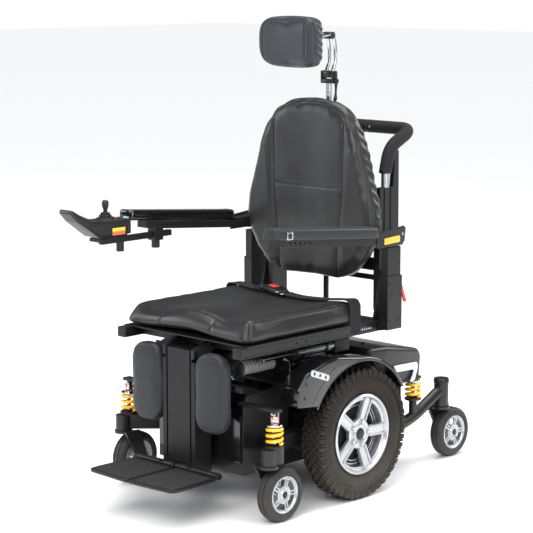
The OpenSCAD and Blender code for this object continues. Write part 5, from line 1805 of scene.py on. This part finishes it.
def buildCalfPads():
    low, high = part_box("calf_pads")
    inner = min(v.co.x for v in nodes["calf_pads"].data.vertices if v.co.x > 0)
    outline = evenly(roundCorners([(inner + 0.004, low.z + 0.004), (high.x - 0.004, low.z + 0.004),
                                   (high.x - 0.004, high.z - 0.004),
                                   (inner + 0.004, high.z - 0.004)], [0.050, 0.057, 0.058, 0.054], 10), 90)
    piece = shellObject("calfPadLeft", plate(outline, low.y + 0.006, high.y - 0.002, 0.011, facing="y",
                                             smooth=4))
    puff(piece, legPart["calfPuff"], Vector((inner, low.y, low.z)), high, voxel=0.004)
    tree = surfaceOf(piece)
    ring = laidLine(tree, [(u, low.y + 0.0135, v) for u, v in shrunk(outline, -0.002)], steps=2, closed=True)
    innerRing = laidLine(tree, [(u, low.y, v) for u, v in shrunk(outline, 0.010)], steps=2, closed=True)
    sewSeam(piece, [ring], 0.0018, 0.0012)
    sewSeam(piece, [innerRing], 0.0030, 0.0008)
    twin = piece.copy()
    twin.data = piece.data.copy()
    twin.name = "calfPadRight"
    twin.data.transform(Matrix.Scale(-1, 4, (1, 0, 0)))
    twin.data.flip_normals()
    bpy.context.scene.collection.objects.link(twin)
    finishSoft(piece, "pad_skin", "legrest", ["calf_pads"])
    finishSoft(twin, "pad_skin", "legrest", ["calf_pads"])


def buildFootplates():
    for sideName, side in sides.items():
        low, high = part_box("footplate_left")
        top = low.z + 0.0085
        outline = roundCorners([(low.x, low.y + 0.004), (high.x - 0.004, low.y + 0.014),
                                (high.x, low.y + 0.05), (high.x - 0.006, high.y - 0.018),
                                (low.x, high.y - 0.018)], [0.010, 0.022, 0.03, 0.010, 0.006], 6)
        base = plate(outline, low.z, top, 0.0024, facing="z", smooth=4)
        gritOutline = roundCorners([(low.x + 0.008, low.y + 0.013), (high.x - 0.014, low.y + 0.022),
                                    (high.x - 0.010, low.y + 0.05),
                                    (high.x - 0.016, high.y - 0.030), (low.x + 0.008, high.y - 0.030)],
                                   [0.008, 0.016, 0.02, 0.008, 0.006], 6)
        grit = plate(gritOutline, top - 0.002, top + 0.0012, 0.0008, facing="z")
        beads = []
        for i in range(9):
            for j in range(11):
                x = low.x + 0.020 + i * 0.0150 + (0.0075 if j % 2 else 0)
                y = low.y + 0.034 + j * 0.0130
                if x < high.x - 0.022:
                    beads.append(pill((x - 0.0030, y - 0.0012, top + 0.0006),
                                      (x + 0.0030, y + 0.0012, top + 0.0020), 0.0006, 2))
        ribs = joined(*[pill((low.x + 0.010, low.y + 0.03 + k * 0.05, low.z - 0.003),
                             (high.x - 0.016, low.y + 0.034 + k * 0.05, low.z + 0.001), 0.001)
                        for k in range(3)])
        hinge = joined(rod((low.x + 0.004, high.y - 0.0115, low.z + 0.011),
                           (high.x - 0.004, high.y - 0.0115, low.z + 0.011), 0.0098, 28),
                       pill((low.x + 0.010, high.y - 0.028, low.z + 0.002),
                            (high.x - 0.012, high.y - 0.010, low.z + 0.009), 0.002))
        caps = joined(*[rod((x0, high.y - 0.0115, low.z + 0.011), (x1, high.y - 0.0115, low.z + 0.011),
                            0.0104, 28)
                        for x0, x1 in ((low.x + 0.020, low.x + 0.034), (high.x - 0.040, high.x - 0.026))])
        makePiece("footplate" + sideName.title(),
                  [(sided(joined(base, ribs), side), "frame_paint"), (sided(joined(grit, *beads), side),
                                                                      "footplate_grit"),
                   (sided(hinge, side), "post_aluminium"), (sided(caps, side), "frame_paint")],
                  "footplate_" + sideName, ["footplate_" + sideName])


buildCalfPads()
buildFootplates()
print("legrest built")

# headrest fittings

headFit = {"rod": 0.0052, "rodGap": 0.0115}


def upright(profile, place, turns=48):
    # turns (radius, height) about a vertical axis through place
    shape = lathe(profile, turns)
    return [Vector((place[0] + p.y, place[1] + p.z, p.x)) for p in shape[0]], shape[1]


def filletPath(points, radius, steps=8):
    # rounds the inner corners of a path
    points = [Vector(p) for p in points]
    result = [points[0]]
    for k in range(1, len(points) - 1):
        here = points[k]
        back, ahead = points[k - 1] - here, points[k + 1] - here
        reach = min(radius, back.length * 0.48, ahead.length * 0.48)
        start, end = here + back.normalized() * reach, here + ahead.normalized() * reach
        result += [start * (1 - t) ** 2 + here * 2 * t * (1 - t) + end * t * t
                   for t in [s / steps for s in range(steps + 1)]]
    result.append(points[-1])
    return result


def buildHeadrestFittings():
    postLow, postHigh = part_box("headrest_post")
    postY = (postLow.y + postHigh.y) / 2
    stem = [v.co.x for v in nodes["headrest_post"].data.vertices if v.co.z < postHigh.z - 0.06]
    radius = max(stem)
    clampZ = postHigh.z - 0.010
    shaft = upright([(0.0001, postLow.z), (radius - 0.001, postLow.z), (radius, postLow.z + 0.001),
                     (radius, clampZ - 0.024), (0.0001, clampZ - 0.024)],
                    (0, postY), 40)
    band = joined(*[upright([(radius - 0.001, z), (radius + 0.0004, z + 0.0002),
                             (radius + 0.0004, z + 0.0016), (radius - 0.001, z + 0.0018)],
                            (0, postY), 32) for z in [clampZ - 0.052 - 0.012 * k for k in range(8)]])
    cheeks = joined(pill((-0.0238, postY - 0.0115, clampZ - 0.026),
                         (0.0238, postY + 0.0115, clampZ - 0.0135), 0.0030),
                    pill((-0.0238, postY - 0.0115, clampZ - 0.024),
                         (-0.0172, postY + 0.0115, clampZ + 0.0105), 0.0028),
                    pill((0.0172, postY - 0.0115, clampZ - 0.024), (0.0238, postY + 0.0115, clampZ + 0.0105),
                         0.0028),
                    rod((0.0230, postY, clampZ - 0.019), (0.0330, postY, clampZ - 0.019), 0.0040, 24))
    makePiece("headrestPost", [(shaft, "chrome"), (band, "brushed_tube"), (cheeks, "buckle_plastic")],
              "headrest_post", ["headrest_post"])

    archLow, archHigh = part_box("headrest_arch")
    headZ = archHigh.z - 0.024
    hingeY = archLow.y + 0.006
    rods = []
    for sign in (-1, 1):
        s = sign * headFit["rodGap"]
        path = smoothLine([(s, postY, clampZ + 0.004), (s, postY + 0.011, clampZ + 0.030),
                           (s, postY + 0.0145, clampZ + 0.056),
                           (s, postY + 0.0110, headZ - 0.012), (s, postY + 0.0020, headZ + 0.012),
                           (s, postY - 0.020, headZ + 0.016),
                           (s * 0.75, hingeY + 0.040, headZ + 0.010), (s * 0.5, hingeY + 0.012, headZ)], 8)
        rods.append(sweep(path, ringOf(headFit["rod"], 18)))
    caps = joined(pill((-0.0180, postY - 0.014, headZ + 0.0035), (0.0180, postY + 0.010, headZ + 0.0235),
                       0.0055, 4),
                  pill((-0.0168, postY - 0.010, clampZ - 0.010), (0.0168, postY + 0.0105, clampZ + 0.0110),
                       0.0050, 4),
                  pill((-0.0117, hingeY - 0.006, headZ - 0.011), (0.0117, hingeY + 0.016, headZ + 0.008),
                       0.0030))
    pins = joined(rod((-0.0235, postY, clampZ), (0.0235, postY, clampZ), 0.0040, 24),
                  rod((-0.018, hingeY, headZ - 0.002), (0.018, hingeY, headZ - 0.002), 0.0040, 24))
    makePiece("headrestArch", [(joined(*rods), "chrome"), (caps, "buckle_plastic"), (pins, "brushed_tube")],
              "headrest_arch", ["headrest_arch"])

    leverLow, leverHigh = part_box("headrest_lever")
    x = (leverLow.x + leverHigh.x) / 2
    pivotZ = leverHigh.z - 0.008
    stops = [(0.0, 0.0056), (0.010, 0.0046), (0.022, 0.0034), (0.036, 0.0032), (0.044, 0.0048),
             (0.051, 0.0058), (0.0565, 0.0040), (0.0585, 0.0010)]
    path = [Vector((x, postY - 0.0008 - 0.004 * (d / 0.058) ** 2, pivotZ - d)) for d, _ in stops]
    handle = sweep(path, [ringOf(r, 20) for _, r in stops], upward=(0, 1, 0))
    hub = moved(lathe([(0.0042, -0.0034), (0.0076, -0.0034), (0.0080, -0.0026), (0.0080, 0.0026),
                       (0.0076, 0.0034), (0.0042, 0.0034)], 32), (x, postY, pivotZ))
    makePiece("headrestLever", [(joined(handle, hub), "buckle_plastic")], "headrest_lever",
              ["headrest_lever"])


buildHeadrestFittings()
print("headrest fittings built")

# push bar and back fittings

pushBar = {"foam": 0.0186, "round": 0.040, "tube": 0.0112}


def buildPushBar():
    low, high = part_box("push_handle")
    x, cornerY, cornerZ = high.x - 0.017, high.y - 0.0176, high.z - 0.0176
    startY, startZ = low.y + 0.0165, low.z + 0.0045
    points = [(x, startY, startZ), (x, startY + 0.018, startZ + 0.069), (x, cornerY, cornerZ),
              (-x, cornerY, cornerZ), (-x, startY + 0.018, startZ + 0.069), (-x, startY, startZ)]
    path = filletPath(points, pushBar["round"], 10)
    foam = sweep(path, ringOf(pushBar["foam"], 28))
    rings = []
    for sign in (-1, 1):
        rings.append(moved(lathe([(0.0180, -0.0022), (0.0192, -0.0018), (0.0192, 0.0018), (0.0180, 0.0022)],
                                 40), (sign * 0.052, cornerY, cornerZ)))
    ends = joined(*[upright([(0.0110, startZ - 0.0030), (0.0170, startZ - 0.0030), (0.0182, startZ - 0.0018),
                             (0.0182, startZ + 0.004), (0.0110, startZ + 0.004)],
                            (sign * x, startY), 36) for sign in (-1, 1)])
    screw = moved(rod((0, -0.0190, 0), (0, -0.0205, 0), 0.0036, 16, 0.0005), (0.066, cornerY, cornerZ))
    makePiece("pushHandle", [(foam, "foam_grip"), (joined(*rings, ends), "buckle_plastic"),
                             (screw, "brushed_tube")], "backrest", ["push_handle"])
    caneTop = startZ - 0.043
    shine = joined(*[upright([(0.0108, caneTop), (pushBar["tube"] + 0.0006, caneTop),
                              (pushBar["tube"] + 0.0006, startZ - 0.003), (0.0108, startZ - 0.003)],
                             (sign * x, startY), 36) for sign in (-1, 1)])
    frameLow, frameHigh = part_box("back_frame")
    bolts = []
    for sign in (-1, 1):
        for z in (frameLow.z + 0.032, frameLow.z + 0.064, caneTop - 0.028, caneTop - 0.145):
            bolts.append(rod((sign * frameHigh.x, frameLow.y + 0.0075, z),
                             (sign * (frameHigh.x + 0.0022), frameLow.y + 0.0075, z), 0.0040, 18))
    makePiece("backTubes", [(shine, "brushed_tube"), (joined(*bolts), "buckle_plastic")], "backrest")


buildPushBar()


def buildArmLevers():
    # a locking lever behind each sleeve, and button screws on its faces
    low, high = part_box("arm_sleeves")
    for sideName, side in sides.items():
        x = high.x - 0.0155
        back = high.y
        stops = [((x, back + 0.003, 0.584), 0.0052), ((x + 0.001, back + 0.009, 0.576), 0.0062),
                 ((x + 0.002, back + 0.0165, 0.560), 0.0050),
                 ((x + 0.003, back + 0.0225, 0.542), 0.0048), ((x + 0.004, back + 0.0270, 0.530), 0.0058),
                 ((x + 0.004, back + 0.0285, 0.5255), 0.0030)]
        lever = sweep([p for p, _ in stops], [ringOf(r, 18) for _, r in stops], upward=(1, 0, 0))
        stud = rod((x, back - 0.002, 0.578), (x, back + 0.008, 0.578), 0.0040, 20)
        screws = joined(*[rod((high.x - 0.001, y, z), (high.x + 0.0018, y, z), 0.0038, 18)
                          for y, z in ((low.y + 0.012, 0.588), (low.y + 0.012, 0.480),
                                       (high.y - 0.012, 0.480))])
        slots = joined(*[pill((high.x - 0.0005, y, z0), (high.x + 0.0004, y + 0.004, z1), 0.0004, 2)
                         for y, z0, z1 in ((low.y + 0.014, 0.520, 0.566),)])
        makePiece("armLever" + sideName.title(), [(sided(lever, side), "button_red"),
                                                  (sided(stud, side), "brushed_tube"),
                                                  (sided(joined(screws, slots), side), "buckle_plastic")],
                  "chassis")


buildArmLevers()
print("back and arm fittings built")

# rear arms

rearArmPart = {"x": 0.190, "tube": 0.0168, "barrelY": 0.4965, "barrelLow": 0.162, "perchLow": 0.158}


def buildRearArm(sideName, side):
    low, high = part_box("rear_arm_left")
    x = rearArmPart["x"]
    pivot = (x, low.y + 0.0220, low.z + 0.022)
    barrelY = rearArmPart["barrelY"]
    barrelLow, barrelHigh = rearArmPart["barrelLow"], high.z
    path = smoothLine([(x, pivot[1], pivot[2]), (x, 0.150, pivot[2] + 0.002), (x, 0.2815, 0.134),
                       (x, 0.365, 0.152), (x, 0.4305, 0.182),
                       (x, 0.472, 0.202), (x, barrelY, 0.212)], 8)
    tube = sweep(path, ringOf(rearArmPart["tube"], 28), upward=(1, 0, 0))
    barrel = upright([(0.0088, barrelLow), (0.0225, barrelLow), (0.0238, barrelLow + 0.0014),
                      (0.0238, barrelLow + 0.010), (0.0222, barrelLow + 0.0120),
                      (0.0222, barrelHigh - 0.016), (0.0236, barrelHigh - 0.0145),
                      (0.0236, barrelHigh - 0.004), (0.0215, barrelHigh), (0.0001, barrelHigh),
                      (0.0001, barrelHigh - 0.02), (0.0088, barrelHigh - 0.0205)], (x, barrelY), 56)
    springLow, springHigh = springBoxes[("rear", sideName)]
    seatY = (springLow.y + springHigh.y) / 2
    perch = joined(upright([(0.0001, rearArmPart["perchLow"]), (0.0118, rearArmPart["perchLow"]),
                            (0.0118, springLow.z - 0.008), (0.0205, springLow.z - 0.0075),
                            (0.0252, springLow.z - 0.0055),
                            (0.0252, springLow.z - 0.0012), (0.0240, springLow.z), (0.0001, springLow.z)],
                           (x, seatY), 40),
                   pill((x - 0.010, seatY - 0.006, 0.150), (x + 0.010, seatY + 0.030, 0.182), 0.005))
    boss = moved(lathe([(0.0092, -0.0190), (0.0205, -0.0190), (0.0218, -0.0176), (0.0218, 0.0176),
                        (0.0205, 0.0190), (0.0092, 0.0190)], 40),
                 (x + 0.0025, pivot[1], pivot[2]))
    makePiece("rearArm" + sideName.title(), [(sided(joined(tube, barrel, perch, boss), side), "arm_paint")],
              "rear_arm_" + sideName, ["rear_arm_" + sideName])


for sideName, side in sides.items():
    buildRearArm(sideName, side)
print("rear arms built")

# rails, bellows and leg column trim

railPart = {"ribs": ((0.4525, 0.0030), (0.4715, 0.0030)), "slots": 6}


def buildRailTrim():
    low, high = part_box("seat_frame")
    for sideName, side in sides.items():
        x = high.x
        front, back = low.y + 0.012, 0.120
        ribs = joined(*[pill((x - 0.001, front, z - h / 2), (x + 0.0012, back, z + h / 2), 0.0006, 2) for z,
                        h in railPart["ribs"]])
        cap = pill((x - 0.0308, low.y - 0.0034, 0.4475), (x + 0.0008, low.y + 0.0022, 0.4765), 0.0022)
        slots = joined(*[pill((x - 0.0005, 0.060 + k * 0.009, 0.4585),
                              (x + 0.0009, 0.0645 + k * 0.009, 0.4655), 0.0008, 2)
                         for k in range(railPart["slots"])])
        makePiece("railTrim" + sideName.title(), [(sided(ribs, side), "frame_paint"),
                                                  (sided(cap, side), "motor_casting"),
                                                  (sided(slots, side), "brushed_tube")], "chassis")


def buildBellows():
    low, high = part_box("actuator_bellows")
    centre = (low + high) / 2
    radius, folds = (high.x - low.x) / 2, 10
    long = high.y - low.y
    profile = [(0.0001, 0.0)]
    for k in range(folds * 8 + 1):
        t = k / (folds * 8)
        ridge = 0.5 - 0.5 * math.cos(2 * math.pi * folds * t)
        profile.append((radius - 0.0050 + 0.0048 * ridge ** 0.7, long * t))
    profile.append((0.0001, long))
    shape = lathe(profile, 48, closed=False)
    points = [Vector((centre.x + p.y, low.y + p.x, centre.z + p.z)) for p in shape[0]]
    cuffs = joined(*[rod((centre.x, y, centre.z), (centre.x, y + 0.009, centre.z), radius - 0.0003, 36,
                         0.0012) for y in (low.y - 0.002, high.y - 0.008)])
    makePiece("actuatorBellows", [((points, shape[1]), "bellows_rubber"), (cuffs, "frame_paint")], "chassis",
              ["actuator_bellows"], sharp=70)


legDrive = {"tube": 0.0140, "collar": 0.0168, "rod": 0.0062}


def buildLegDrive():
    # the electric cylinder that lifts the legrest: bright tube, dark motor block
    low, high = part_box("leg_actuator")
    x, z = (low.x + high.x) / 2 + 0.002, (low.z + high.z) / 2
    blockY = high.y - 0.065
    tubeFront = blockY - 0.160
    tube = rod((x, tubeFront, z), (x, blockY + 0.002, z), legDrive["tube"], 40, 0.0012)
    stem = rod((x, low.y, z), (x, tubeFront + 0.002, z), legDrive["rod"], 28, 0.0005)
    collars = joined(*[rod((x, y, z), (x, y + w, z), legDrive["collar"], 36, 0.0012) for y,
                       w in ((tubeFront - 0.001, 0.013), (blockY - 0.034, 0.010))])
    block = pill((x - 0.022, blockY, low.z), (x + 0.018, high.y, high.z), 0.0060, 4)
    makePiece("legDrive", [(tube, "brushed_tube"), (stem, "chrome"), (collars, "buckle_plastic"),
                           (block, "motor_casting")], "chassis",
              ["leg_actuator"])


buildRailTrim()
buildBellows()
buildLegDrive()
print("rail trim, bellows and leg drive built")
